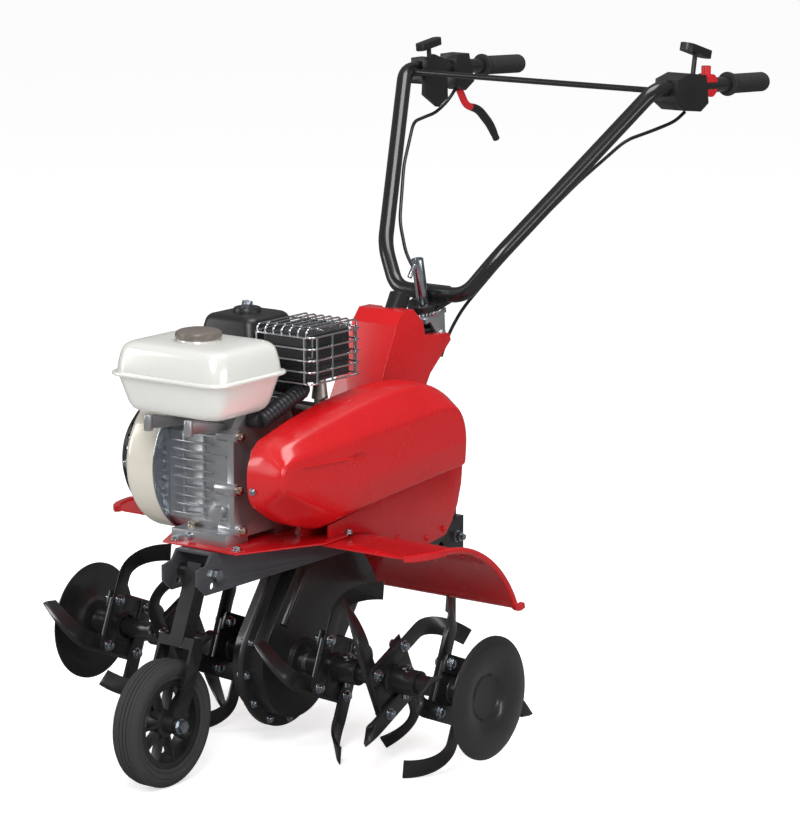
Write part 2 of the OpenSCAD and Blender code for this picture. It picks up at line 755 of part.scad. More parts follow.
// The cylinder leans back from the crankshaft; u runs along it.
cyl_mid_y = -30;
cyl_half = 46;
fin_pitch = 9;
cyl_from = 66;
cyl_to = 132;
rocker_at = cyl_to + 6;
cylinder_front = engine_back - 12 - seat;
module finned_block() {
    translate([cyl_from, -cyl_half + 12, -cyl_half + 12])
        cube([rocker_at - seat - cyl_from, 2 * cyl_half - 24, 2 * cyl_half - 24]);
    for (u = [cyl_from + 6 : fin_pitch : cyl_to])
        translate([u, -cyl_half, -cyl_half]) cube([3.5, 2 * cyl_half, 2 * cyl_half]);
}
module on_cylinder() translate([crank_x, cyl_mid_y, crank_z])
    rotate([0, 180 + cylinder_lean, 0]) children();
module engine_cylinder() color("#9c9ea3") place()
    difference() {
        on_cylinder() finned_block();
        translate([cylinder_front, -200, 0]) cube([400, 400, 900]);
    }
module rocker_cover() color("#1f1f21") place() on_cylinder()
    translate([rocker_at, -36, -34]) hull() {
        cube([2, 72, 68]);
        translate([0, 6, 6]) cube([22, 60, 56]);
    }

shroud_t = 3;
shroud_y = case_in_y + seat + shroud_t;
module fan_shroud() color("#9aa7b5") place()
    difference() {
        side_plate(-shroud_y, -case_in_y - seat) {
            translate([crank_x, crank_z]) circle(fan_r + 4);
            polygon([[crank_x - 20, up(150)], [crank_x + 84, up(150)],
                     [crank_x + 78, up(199)], [crank_x - 14, up(199)]]);
        }
        along_y(crank_x, crank_z, -200, 0, 34);
        // Flat foot, clear of the deck
        translate([-200, -200, deck_z - 20]) cube([600, 200, 22]);
    }

fan_back_y = -shroud_y - seat;
fan_face_y = fan_back_y - fan_depth;
fan_wall = 3;
// Volute outline: the round cover and the duct that leads up over the cylinder
module fan_outline(grow) {
    translate([crank_x, crank_z]) circle(fan_r + grow);
    translate([crank_x, crank_z]) rotate(180 - cylinder_lean)
        translate([0, -38 - grow]) square([132 + grow, 88 + 2 * grow]);
}
module fan_cover() color("#e3ddcc") place()
    difference() {
        // Rounded front edge of the cover
        intersection() {
            side_plate(fan_face_y, fan_back_y) fan_outline(0);
            translate([0, fan_face_y, 0]) union() {
                translate([crank_x, 0, crank_z]) rotate([-90, 0, 0])
                    rotate_extrude($fn = 96) {
                        square([fan_r - 14, fan_depth]);
                        translate([0, 14]) square([fan_r, fan_depth - 14]);
                        translate([fan_r - 14, 14]) circle(14, $fn = 48);
                    }
                translate([-400, 12, 0]) cube([500, fan_depth, 900]);
            }
        }
        side_plate(fan_face_y + 16, fan_back_y + 1) fan_outline(-fan_wall);
        along_y(crank_x, crank_z, fan_face_y - 1, fan_back_y, recoil_r - 10);
        translate([-200, -300, deck_z - 60]) cube([600, 300, 61]);
    }

recoil_slots = 28;
recoil_wall = 4;
module recoil_starter() color("#18181a") place()
    translate([crank_x, fan_face_y - seat, crank_z]) rotate([90, 0, 0])
        difference() {
            union() {
                rotate_extrude($fn = 96)
                    polygon([[0, 0], [recoil_r, 0], [recoil_r, recoil_depth - 10],
                             [recoil_r - 10, recoil_depth], [0, recoil_depth]]);
                // Pull grip in its guide at the top
                translate([-12, recoil_r - 6, 4]) cube([24, 16, 16]);
                translate([-20, recoil_r + 10, 6]) cube([40, 12, 12]);
            }
            // Hollow that follows the outside, so that face and wall stay joined
            rotate_extrude($fn = 96)
                polygon([[0, -1], [recoil_r - recoil_wall, -1],
                         [recoil_r - recoil_wall, recoil_depth - 12],
                         [recoil_r - 12, recoil_depth - recoil_wall],
                         [0, recoil_depth - recoil_wall]]);
            for (k = [0 : recoil_slots - 1])
                rotate(360 * k / recoil_slots)
                    translate([recoil_r - 34, -2.2, recoil_depth - 8]) cube([20, 4.4, 12]);
            for (k = [0 : recoil_slots - 1])
                rotate(360 * k / recoil_slots)
                    translate([recoil_r - 8, -3, 5]) cube([12, 6, recoil_depth - 18]);
        }

// Tank: two moulded halves meeting at a lipped seam
tank_x = crank_x + 88;
tank_y = -22;
module rounded_slab(z, l, w, r, h = 0.1) translate([tank_x, tank_y, z])
    linear_extrude(h)
        for (sx = [-1, 1], sy = [-1, 1])
            translate([sx * (l / 2 - r), sy * (w / 2 - r)]) circle(r, $fn = 32);
module fuel_tank() color("#f1f1ea") place()
    difference() {
        union() {
            hull() {
                rounded_slab(seam_z, tank_l - 14, tank_w - 14, 34);
                rounded_slab(seam_z + 0.62 * tank_up, tank_l - 26, tank_w - 26, 34);
                rounded_slab(seam_z + 0.9 * tank_up, tank_l - 44, tank_w - 44, 30);
                rounded_slab(seam_z + tank_up - 0.1, tank_l - 66, tank_w - 66, 28);
            }
            hull() {
                rounded_slab(seam_z - 0.1, tank_l - 14, tank_w - 14, 34);
                rounded_slab(seam_z - 0.75 * tank_down, tank_l - 34, tank_w - 44, 34);
                rounded_slab(seam_z - tank_down, tank_l - 52, tank_w - 70, 26);
            }
            translate([tank_x, tank_y, seam_z - 3]) linear_extrude(5) round_rect(tank_l, tank_w, 40);
            translate([tank_x, tank_y, seam_z]) cylinder(h = tank_up + 4, d = cap_d - 8);
        }
        translate([tank_x, tank_y, seam_z + tank_up + 4 - 8]) cylinder(h = 9, d = cap_d - 20);
        // Recess over the fan cover
        along_y(crank_x, crank_z, -200, fan_back_y + 6, fan_r + 8);
    }
cap_ribs = 24;
module fuel_cap() color("#5b544e") place()
    translate([tank_x, tank_y, seam_z + tank_up + 4 + seat])
        difference() {
            rotate_extrude($fn = 72)
                polygon([[0, 0], [cap_d / 2, 0], [cap_d / 2, 15], [cap_d / 2 - 3, 19],
                         [cap_d / 2 - 12, 19], [cap_d / 2 - 14, 16], [0, 16]]);
            for (k = [0 : cap_ribs - 1])
                rotate(360 * k / cap_ribs)
                    translate([cap_d / 2 + 0.6, 0, -1]) cylinder(h = 14, d = 4, $fn = 16);
        }
module tank_brackets() color("#8d9198") place() {
    bottom = seam_z - tank_down - seat;
    low = up(196) + seat;
    for (y = [-70, 6])
        side_plate(y - 4, y + 4)
            polygon([[crank_x - 14, low], [crank_x + 46, low], [tank_x + 44, bottom - 3],
                     [tank_x + 44, bottom], [crank_x - 14, bottom]]);
    translate([tank_x + 16, -74, bottom - 3]) cube([14, 84, 3]);
}

// ---- air, fuel and exhaust -----------------------------------------------

cleaner_x = [-66, 62];
cleaner_y = [-128, -8];
cleaner_up = [248, 326];
module air_cleaner() color("#1c1c1e") place() {
    cx = (cleaner_x[0] + cleaner_x[1]) / 2;
    cy = (cleaner_y[0] + cleaner_y[1]) / 2;
    l = cleaner_x[1] - cleaner_x[0];
    w = cleaner_y[1] - cleaner_y[0];
    translate([cx, cy, 0]) {
        translate([0, 0, up(cleaner_up[0])]) linear_extrude(22) round_rect(l - 10, w - 10, 12);
        translate([0, 0, up(cleaner_up[0]) + 22]) linear_extrude(4) round_rect(l, w, 16);
        hull() {
            translate([0, 0, up(cleaner_up[0]) + 26])
                linear_extrude(0.1) offset(14, $fn = 32) square([l - 32, w - 32], center = true);
            translate([0, 0, up(cleaner_up[1]) - 0.1])
                linear_extrude(0.1) offset(14, $fn = 32) square([l - 56, w - 56], center = true);
        }
        translate([0, 0, up(cleaner_up[1]) - eps]) cylinder(h = 7, r = 14);
        translate([0, 0, up(cleaner_up[1]) + 6]) cylinder(h = 8, d = 6);
        translate([-11, -2, up(cleaner_up[1]) + 10]) cube([22, 4, 8]);
    }
}
module carburettor() color("#9b9da2") place() {
    inner_y = cyl_mid_y - cyl_half - seat;
    translate([-62, inner_y - 40, up(182)]) cube([36, 40, cleaner_up[0] - 182 - seat]);
    // Flange on the side of the cylinder head
    translate([-30, inner_y - 14, up(176)]) cube([18, 14, 24]);
    translate([-52, inner_y - 13, up(160)]) cylinder(h = 24, r = 11);
}

hose_d = 27;
hose_path = [[128, 62, 541], [96, 64, 553], [58, 66, 567], [24, 62, 573], [10, 34, 573],
             [10, 0, 573], [10, -30, 577], [10, -33, up(cleaner_up[0]) - 2.5]];
hose_curve = rounded(hose_path, 12, 3);
hose_rings = 24;
module intake_hose() color("#232325") place() {
    sweep(hose_curve, hose_d - 5, 12);
    // Union on the engine's side cover
    along_y(hose_path[0].x, hose_path[0].z, side_cover_y + seat, hose_path[0].y, 12);
    // Corrugations
    for (k = [0 : hose_rings - 1])
        let (
            i = round((len(hose_curve) - 2) * k / (hose_rings - 1)),
            f = (len(hose_curve) - 2) * k / (hose_rings - 1) - i,
            p = hose_curve[i] + f * (hose_curve[i + 1] - hose_curve[i]),
            t = tangent(hose_curve, i)
        )
        bar(p - 1.5 * t, p + 1.5 * t, hose_d);
}

muffler_x = [-50, 54];
muffler_y = [2, 98];
muffler_up = [240, 312];
guard_gap = 11;
exhaust_x = -16;
exhaust_y = 62;
exhaust_z = 536;
guard_wire_d = 3;
module muffler() color("#17171a") place() {
    cx = (muffler_x[0] + muffler_x[1]) / 2;
    cy = (muffler_y[0] + muffler_y[1]) / 2;
    h = muffler_up[1] - muffler_up[0];
    translate([cx, cy, up(muffler_up[0])]) {
        linear_extrude(h)
            round_rect(muffler_x[1] - muffler_x[0], muffler_y[1] - muffler_y[0], 10);
        // Rolled seam round the middle
        translate([0, 0, h / 2 - 2]) linear_extrude(4)
            round_rect(muffler_x[1] - muffler_x[0] + 4, muffler_y[1] - muffler_y[0] + 4, 11);
    }
}
module exhaust_pipe() color("#b6b1a8") place() {
    top = up(muffler_up[0]) - seat;
    translate([exhaust_x, exhaust_y, top - 38]) cylinder(h = 38, d1 = 26, d2 = 17);
    // Elbow from the port in the side of the head
    translate([exhaust_x, exhaust_y, exhaust_z]) cylinder(h = top - 37 - exhaust_z, d = 18);
    translate([exhaust_x, exhaust_y, exhaust_z]) sphere(d = 18, $fn = 32);
    along_y(exhaust_x, exhaust_z, cyl_mid_y + cyl_half + seat, exhaust_y, 9);
}

module muffler_guard() color("#cfd3d8") place() {
    x0 = muffler_x[0] - guard_gap;
    x1 = muffler_x[1] + guard_gap;
    y0 = muffler_y[0] - guard_gap + 4;
    y1 = muffler_y[1] + guard_gap;
    low = up(muffler_up[0] - 2);
    top = up(muffler_up[1] + guard_gap);
    rows = 4;
    // Rings round the sides
    for (k = [0 : rows])
        translate([(x0 + x1) / 2, (y0 + y1) / 2, low + (top - low - 10) * k / rows])
            linear_extrude(guard_wire_d) difference() {
                round_rect(x1 - x0 + guard_wire_d, y1 - y0 + guard_wire_d, 14);
                round_rect(x1 - x0 - guard_wire_d, y1 - y0 - guard_wire_d, 12);
            }
    // Feet that stand the guard off the muffler
    foot_z = low + (top - low - 10) * 3 / rows + guard_wire_d / 2;
    for (x = [muffler_x[0] + 20, muffler_x[1] - 20])
        bar([x, muffler_y[1] + seat, foot_z], [x, y1, foot_z], 6);
    for (y = [muffler_y[0] + 26, muffler_y[1] - 26])
        bar([muffler_x[1] + seat, y, foot_z], [x1, y, foot_z], 6);
    // Uprights
    for (x = [x0 + 14, x1 - 14], y = [y0, y1])
        bar([x, y, low], [x, y, top], guard_wire_d);
    for (y = [y0 + 14, y1 - 14], x = [x0, x1])
        bar([x, y, low], [x, y, top], guard_wire_d);
    // Roof wires
    for (k = [0 : 6])
        let (y = y0 + 14 + (y1 - y0 - 28) * k / 6)
        bar([x0, y, top], [x1, y, top], guard_wire_d);
    for (x = [x0, x0 + 14, (x0 + x1) / 2, x1 - 14, x1])
        bar([x, y0, top - guard_wire_d / 2], [x, y1, top - guard_wire_d / 2], guard_wire_d);
}

// ---- steering column and tower -------------------------------------------

column_top_z = 668;
column_rise = column_top_z - deck_under + channel_t;
column_run = column_rise * tan(column_lean);
lug_x = -393;
lug_z = 598;
lug_r = 12;
lug_half = 15;
pivot_bolt_d = 10;
module column() color("#1b1b1d") place()
    difference() {
        union() {
            intersection() {
                bar([column_base_x + 40 * tan(column_lean), 0, deck_under - channel_t - 40],
                    [column_base_x - column_run, 0, column_top_z], column_d);
                translate([-600, -100, deck_under - channel_t]) cube([900, 200, 900]);
            }
            // Rear arm that carries the pivot of the handlebar head
            side_plate(-lug_half, lug_half)
                polygon([[column_base_x - column_run + 44, column_top_z - 66],
                         [column_base_x - column_run + 20, column_top_z - 34],
                         [column_base_x - column_run - 20, lug_z + 4], [lug_x, lug_z + 6],
                         [lug_x, lug_z - lug_r], [column_base_x - column_run + 20, lug_z - 26]]);
            along_y(lug_x, lug_z, -lug_half, lug_half, lug_r);
        }
        along_y(lug_x, lug_z, -60, 60, pivot_bolt_d / 2 + run_fit);
        // Bore of the tube, open at both ends
        translate([column_base_x - column_run, 0, column_top_z])
            rotate([0, -column_lean, 0])
                translate([0, 0, -column_rise * 1.5])
                    cylinder(h = column_rise * 2, d = column_d - 2 * column_wall);
    }

tower_half = 44;
tower_wall = 3;
// Side outline of the tower, up from the deck
module tower_outline() polygon([
    [-84, deck_z + seat], [-205, 560], [-240, 632], [-258, 652], [-286, 652], [-312, 628],
    [-318, 604], [-384, 600], [-389, 588], [-332, 541], [-262, 430], [-228, deck_z + seat]
]);
module tower_cover() color("#cc161c") place()
    difference() {
        side_plate(-tower_half, tower_half) tower_outline();
        side_plate(-tower_half + tower_wall, tower_half - tower_wall)
            offset(delta = -tower_wall) tower_outline();
        // Open foot, and the opening round the column and its rear arm
        translate([-400, -tower_half + tower_wall, deck_z - 10])
            cube([400, 2 * (tower_half - tower_wall), 18]);
        bar([column_base_x - 150 * tan(column_lean), 0, deck_z + 150],
            [column_base_x - column_run, 0, column_top_z], column_d + 8);
        side_plate(-lug_half - 11, lug_half + 11)
            polygon([[column_base_x - column_run + 6, lug_z - 30],
                     [column_base_x - column_run + 6, 700], [-420, 700], [-420, lug_z - 30]]);
    }

// ---- belt cover ----------------------------------------------------------

// Outlines of the cover, as [forward, above the deck], matched point by point:
// its inner rim, and its outer face inside the broad bevel
rim_points = [[190, 74], [199, 119], [188, 164], [172, 194], [93, 219], [5, 227], [-90, 224],
              [-195, 209], [-262, 177], [-283, 139], [-284, 61], [60, 15], [130, 36]];
face_points = [[197, 104], [204, 129], [190, 150], [150, 166], [93, 168], [5, 169], [-90, 170],
               [-225, 171], [-258, 155], [-277, 119], [-279, 63], [45, 41], [137, 77]];
cover_bevel_y = cover_in_y + 27;
cover_mid = [-40, 110];
// Outline drawn in toward its middle by about t on each side
function drawn_in(points, t) = [
    for (q = points)
        [cover_mid.x + (q.x - cover_mid.x) * (1 - t / 240),
         cover_mid.y + (q.y - cover_mid.y) * (1 - t / 95)]
];
// Solid through three matched outlines at stations along Y
module cover_solid(rim, face, ys) {
    n = len(rim);
    rings = [rim, rim, face];
    points = [for (i = [0 : 2], q = rings[i]) [q.x, ys[i], deck_z + q.y]];
    skin = [
        for (i = [0 : 1], k = [0 : n - 1])
            let (a = i * n + k, b = i * n + (k + 1) % n)
            each [[a, b + n, a + n], [a, b, b + n]]
    ];
    polyhedron(points, concat(skin, [[for (k = [n - 1 : -1 : 0]) k],
                                     [for (k = [0 : n - 1]) 2 * n + k]]), convexity = 4);
}
module belt_cover() color("#d1121a") place()
    difference() {
        cover_solid(rim_points, face_points, [cover_in_y, cover_bevel_y, cover_y]);
        cover_solid(drawn_in(rim_points, cover_t), drawn_in(face_points, cover_t),
                    [cover_in_y - 1, cover_bevel_y - 1, cover_y - cover_t]);
    }

// Skirt under the cover: a folded sheet that carries it, closes it on the
// engine's side and hangs down behind the deck
skirt_y = cover_in_y - seat - sheet_t;
skirt_out_y = 124;
// Rear outline of the skirt, from its lowest corner up to the cover
skirt_tail = [[-212, 292], [-263, 299], [-280, 317], [-296, 344], [-306, 376], [-309, 404]];
// Lower edge of its outer side, laid over the roll of the fender
skirt_foot = [[44, deck_z + seat], [-14, deck_z + seat], [-16, deck_under + 0.4], [-53, 342],
              [-99, 326]];
// Upper edge, under the belt cover
skirt_head = [[-286, 411.4], [44, 371.2]];
module belt_skirt() color("#b51218") place() {
    side_plate(skirt_y, skirt_y + sheet_t)
        difference() {
            union() {
                polygon([for (q = rim_points) [q.x * 0.97 - 3, deck_z + q.y]]);
                // Foot on the deck, and the part that hangs behind it
                polygon([[-deck_back - 3, deck_z + seat], [60, deck_z + seat],
                         [60, deck_z + 30], [-deck_back - 3, deck_z + 58]]);
                polygon(concat([[-deck_back - 3, 404], [-deck_back - 3, 296]], skirt_tail));
            }
            translate([crank_x, crank_z]) circle(34);
        }
    side_plate(skirt_out_y - sheet_t, skirt_out_y)
        polygon(concat(skirt_foot, skirt_tail, skirt_head));
    // Fold that joins the two sides along the lower and the rear edge
    side_plate(skirt_y + 1, skirt_out_y - 1)
        band([for (i = [0 : 5]) skirt_tail[i] + [2, 2]], sheet_t);
}

// ---- rear hitch and depth bar --------------------------------------------

hitch_in = flange_half + seat;
hitch_t = 4;
hitch_low = 214;
hitch_high = 276;
bar_clear = 0.5;
module rear_hitch() color("#1b1b1d") place() {
    difference() {
        union() {
            for (s = [0, 1]) mirror([0, s, 0])
                difference() {
                    side_plate(hitch_in, hitch_in + hitch_t)
                        polygon([[-170, 206], [-232, 330], [-258, 330],
                                 [-hitch_back + 20, hitch_high], [-hitch_back - 20, hitch_high], [-hitch_back - 20, hitch_low],
                                 [-hitch_back + 40, hitch_low]]);
                    // The plates lap only the flange of the chain case
                    side_plate(hitch_in - 1, hitch_in + hitch_t + 1)
                        case_outline(case_shell_r + 1);
                }
            for (x = [-hitch_back - 20, -hitch_back + depth_bar_w / 2 + bar_clear])
                translate([x, -hitch_in - eps, hitch_low])
                    cube([20 - depth_bar_w / 2 - bar_clear, 2 * (hitch_in + eps),
                          hitch_high - hitch_low]);
        }
        along_y(-hitch_back + 44, hitch_low + 22, -40, 40, hitch_hole_r);
        along_y(-hitch_back, hitch_low + 30, -40, 40, 5 + run_fit);
    }
}
depth_top = 306;
module depth_bar() color("#232326") place()
    side_plate(-depth_bar_t / 2, depth_bar_t / 2)
        polygon([[-hitch_back - depth_bar_w / 2, depth_foot_z + 16],
                 [-hitch_back, depth_foot_z], [-hitch_back + depth_bar_w / 2, depth_foot_z + 16],
                 [-hitch_back + depth_bar_w / 2, depth_top],
                 [-hitch_back - depth_bar_w / 2, depth_top]]);
module hitch_bolt() color("#b9bec6") place() {
    z = hitch_low + 30;
    out = hitch_in + hitch_t;
    along_y(-hitch_back, z, depth_bar_t / 2 + seat, out + 16, 5);
    along_y(-hitch_back, z, out + seat, out + 2, 10);
    hex_head(-hitch_back, z, out + 2, 17, 8);
}

// ---- handlebar head ------------------------------------------------------

head_x = -376;
head_z = 630;
head_tilt = 12.5;
head_plate_t = 8;
disc_plate_t = 6;
// Upright stub on which the bar's saddle swivels
stub_d = 15;
// Frame of the swivel: its Z is the swivel's axis, through the top of the head
module on_head() translate([head_x, 0, head_z]) rotate([0, head_tilt, 0]) children();
module head_block() color("#bfc3c8") place() {
    on_head() translate([-30, -22, -head_plate_t]) cube([58, 44, head_plate_t]);
    on_head() translate([0, 0, -1]) cylinder(h = disc_plate_t + 12, d = stub_d);
    for (s = [0, 1]) mirror([0, s, 0])
        side_plate(lug_half + seat, lug_half + seat + 6) {
            translate([lug_x, lug_z]) circle(lug_r);
            polygon([[lug_x - lug_r, lug_z], [lug_x + lug_r, lug_z],
                     [head_x + 14, head_z - head_plate_t - 2],
                     [head_x + 14, head_z - 6], [head_x - 24, head_z],
                     [head_x - 27, head_z - 4]]);
        }
    // The bolt on which the head tilts
    along_y(lug_x, lug_z, -lug_half - 12, lug_half + 12, pivot_bolt_d / 2);
}
module swivel_disc() color("#b4b8bd") place() on_head()
    difference() {
        translate([0, 0, seat]) cylinder(h = disc_plate_t, d = swivel_disc_d);
        translate([0, 0, -1]) cylinder(h = 20, d = stub_d + 2 * seat);
        for (k = [0 : swivel_teeth - 1])
            rotate(360 * k / swivel_teeth)
                translate([swivel_disc_d / 2 + 1, 0, -1])
                    rotate(45) translate([-2.6, -2.6, 0]) cube([5.2, 5.2, 20]);
    }

saddle_low = disc_plate_t + 2 * seat;
saddle_high = 17;
bar_low = [-393, 0, 661];
bar_bend_r = 45;
module bar_saddle() color("#1b1b1d") place()
    difference() {
        on_head() {
            translate([0, 0, saddle_low]) cylinder(h = saddle_high - saddle_low, r = 26);
            translate([-40, -30, saddle_low]) cube([28, 60, 28]);
            translate([-14, -30, saddle_low]) cube([14, 60, saddle_high - saddle_low]);
        }
        on_head() cylinder(h = 80, d = stub_d + 2 * run_fit);
        along_y(bar_low.x, bar_low.z, -80, 80, bar_d / 2 + seat);
    }
nut_r = 10;
nut_top = 92;
lever_d = 8;
module clamp_nut() color("#b7c0c4") place() {
    difference() {
        on_head() translate([0, 0, saddle_high + seat]) {
            cylinder(h = nut_top - saddle_high, r = nut_r);
        }
        on_head() translate([0, 0, nut_top - 6]) cylinder(h = 20, r = nut_r - 3);
        on_head() cylinder(h = saddle_high + 8, d = 15.6);
    }
    bent_bar([[-366, 0, 706], [-350, 0, 713], [-335, 0, 693]], 8, lever_d);
}

// Handlebar: a low cradle in the saddle, two arms that open upward, level grips
bar_bend = [-393, 68, 661];
bar_knee = [-420, 112, 724];
bar_elbow = [-668, grip_half + 1, 984];
bar_end = [-grip_back, grip_half, grip_z];
function flip(v) = [v.x, -v.y, v.z];
bar_side = [bar_bend, bar_knee, bar_elbow, bar_end];
bar_path = concat([for (i = [3 : -1 : 0]) flip(bar_side[i])], bar_side);
module handlebar() color("#161618") place()
    bent_bar(bar_path, bar_bend_r, bar_d, bar_d - 2 * bar_wall);

module crossbar() color("#161618") place() {
    y = bar_elbow.y - bar_d / 2 - 3;
    x = bar_elbow.x - 8;
    z = bar_elbow.z - 4;
    bar([x, -y, z], [x, y, z], crossbar_d);
}
module one_grip() {
    dir = unit(bar_elbow - bar_end);
    difference() {
        union() {
            bar(bar_end, bar_end + grip_l * dir, grip_d);
            bar(bar_end + (grip_l - 8) * dir, bar_end + grip_l * dir, grip_d + 8);
        }
        bar(bar_end - dir, bar_end + (grip_l + 1) * dir, bar_d + 2 * run_fit);
    }
}
module grips() color("#0f0f10") place() {
    one_grip();
    on_right() one_grip();
}

// ---- controls ------------------------------------------------------------

// Box round the left bar with a slide knob on a chrome rod
module left_controls() color("#18181a") place() {
    difference() {
        union() {
            side_plate(grip_half - 22, grip_half + 22)
                polygon([[-700, 958], [-704, 996], [-742, 1004], [-792, 997], [-800, 950],
                         [-776, 938], [-724, 944]]);
        }
        bar(bar_elbow, bar_end, bar_d + 2 * seat);
    }
    bar([-787, grip_half - 2, 993], [-794, grip_half - 2, 1030], 8);
    translate([-796, grip_half - 2, 1036]) rotate([0, -16, 0])
        linear_extrude(13, center = true) oblong([-26, 0], [26, 0], 13);
}
module stop_switch() color("#d01018") place() {
    difference() {
        side_plate(grip_half - 12, grip_half + 12)
            translate([-826, bar_elbow.z - 8]) circle(19);
        bar(bar_elbow, bar_end, bar_d + 2 * seat);
    }
    translate([-826, grip_half, bar_elbow.z + 8]) cylinder(h = 16, r = 8);
}
// Plate on the right bar with a slide knob, and the clutch lever's clamp
module right_controls() color("#18181a") place() on_right() {
    difference() {
        union() {
            side_plate(grip_half - 26, grip_half - 17)
                polygon([[-690, 940], [-694, 1000], [-716, 1008], [-752, 996], [-756, 930],
                         [-730, 916]]);
            side_plate(grip_half - 18, grip_half + 18)
                polygon([[-790, 950], [-794, 1000], [-830, 1000], [-846, 950], [-820, 936]]);
            side_plate(grip_half - 22, grip_half + 18)
                polygon([[-706, 956], [-708, 1000], [-738, 1000], [-740, 956]]);
        }
        bar(bar_elbow, bar_end, bar_d + 2 * seat);
    }
    bar([-706, grip_half - 22, 1000], [-704, grip_half - 22, 1022], 8);
    translate([-704, grip_half - 22, 1026]) rotate([0, 8, 0])
        linear_extrude(12, center = true) oblong([-22, 0], [22, 0], 9);
}
clutch_path = [[-824.9, 0, 937.6], [-846, 0, 906], [-884, 0, 896], [-920, 0, 866], [-940, 0, 838]];
module clutch_lever() color("#c4161c") place() on_right() translate([0, grip_half, 0]) {
    bent_bar(clutch_path, 16, 13);
}

// Clutch and stop cables: down the bars, past the head, to behind the tower
cable_d = 6;
cable_low = [[-640, 214, 900], [-560, 176, 838], [-480, 126, 756], [-452, 92, 706],
             [-448, 60, 668], [-440, 30, 630], [-428, 12, 590], [-414, 6, 552]];
cable_left = concat([[-772, 244, 935.7], [-748, 240, 922], [-700, 228, 911]], cable_low);
cable_right = concat([[-806, 244, 940.4], [-780, 243, 920], [-740, 240, 904], [-700, 232, 902]],
                     cable_low);
module control_cables() color("#111112") place() {
    sweep(rounded(cable_left, 12, 2), cable_d, 8, first = [0, 0.3, 1]);
    on_right() sweep(rounded(cable_right, 12, 2), cable_d, 8, first = [0, 0.3, 1]);
}

deck_plate();
fender_left();
fender_right();
front_channel();
gear_case();
rear_hitch();
column();
tower_cover();
belt_cover();
belt_skirt();
crankcase();
engine_cylinder();
rocker_cover();
fan_cover();
fan_shroud();
recoil_starter();
tank_brackets();
fuel_tank();
fuel_cap();
air_cleaner();
carburettor();
intake_hose();
exhaust_pipe();
muffler();
muffler_guard();
wheel_arm();
wheel_bolt();
arm_bolts();
wheel_rim();
tyre();
rotor_shaft();
tines_left_inner();
tines_left_middle();
tines_left_outer();
tines_right_inner();
tines_right_middle();
tines_right_outer();
end_discs();
lock_pins();
depth_bar();
hitch_bolt();
head_block();
swivel_disc();
bar_saddle();
clamp_nut();
handlebar();
crossbar();
grips();
left_controls();
stop_switch();
right_controls();
clutch_lever();
control_cables();
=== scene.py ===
"""Fine shapes and finishes of the mini tiller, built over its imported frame."""
import json
import logging
import math
from dataclasses import dataclass, field
from enum import Enum
from itertools import accumulate, product
from typing import Callable, Iterable, Sequence

import bpy
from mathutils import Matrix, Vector


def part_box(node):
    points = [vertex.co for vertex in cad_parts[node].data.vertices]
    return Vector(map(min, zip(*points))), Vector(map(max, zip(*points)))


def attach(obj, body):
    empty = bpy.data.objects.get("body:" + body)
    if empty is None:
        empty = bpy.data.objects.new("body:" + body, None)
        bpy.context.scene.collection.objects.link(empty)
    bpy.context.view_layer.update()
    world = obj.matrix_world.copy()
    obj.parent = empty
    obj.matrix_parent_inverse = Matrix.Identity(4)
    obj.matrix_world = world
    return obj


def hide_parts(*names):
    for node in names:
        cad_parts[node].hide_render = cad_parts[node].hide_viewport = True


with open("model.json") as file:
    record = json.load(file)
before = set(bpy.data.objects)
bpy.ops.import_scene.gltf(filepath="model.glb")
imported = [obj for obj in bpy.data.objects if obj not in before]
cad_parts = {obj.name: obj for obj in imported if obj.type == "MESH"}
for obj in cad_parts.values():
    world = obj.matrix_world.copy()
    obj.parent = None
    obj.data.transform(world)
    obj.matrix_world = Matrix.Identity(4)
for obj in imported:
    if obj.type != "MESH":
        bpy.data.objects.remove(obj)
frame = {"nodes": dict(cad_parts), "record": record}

log = logging.getLogger("mini_tiller")
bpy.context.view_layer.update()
MM = 0.001
DOUBLES = 1e-6
CAD_DOUBLES = 2e-6
FLAT_DEGREES = 0.6
FLANGE_SHARE = 0.62
FLANGE_T = 1.4
STUB_SHARE = 0.3
Object = bpy.types.Object
NodeTree = bpy.types.NodeTree
Point = Sequence[float]
Pairs = tuple[tuple[float, float], ...]
Triples = tuple[tuple[float, float, float], ...]

JOINT_POS = {j["name"]: Vector(j["pos_m"]) for j in frame["record"]["behaviour"]["joints"]
             if "pos_m" in j}
AXLE = JOINT_POS["rotor_spin"]
BODY_OF = {node: body for body, nodes in frame["record"]["behaviour"]["bodies"].items()
           for node in nodes}
AXLE_Z = AXLE.z / MM
UP, LEFT, FRONT = Vector((0, 0, 1)), Vector((0, 1, 0)), Vector((1, 0, 0))


class Side(Enum):
    """The machine's two sides, as signs of Y."""

    LEFT = 1
    RIGHT = -1

    @property
    def tag(self) -> str:
        """The side's name as it stands in the names of pieces."""
        return self.name.lower()


# ---- finishes -------------------------------------------------------------


def node_group(name: str, inputs: Iterable[tuple[str, str, float]],
               outputs: Iterable[tuple[str, str]]) -> NodeTree:
    """An empty shader node group with named sockets.

    Args:
        name: the group's name.
        inputs: name, socket type and default of each input.
        outputs: name and socket type of each output.

    Returns:
        The group, holding only its input and output nodes.
    """
    group = bpy.data.node_groups.new(name, "ShaderNodeTree")
    for label, kind, default in inputs:
        socket = group.interface.new_socket(label, in_out="INPUT", socket_type=kind)
        if kind == "NodeSocketFloat":
            socket.default_value = default
    for label, kind in outputs:
        group.interface.new_socket(label, in_out="OUTPUT", socket_type=kind)
    group.nodes.new("NodeGroupInput").name = "in"
    group.nodes.new("NodeGroupOutput").name = "out"
    return group


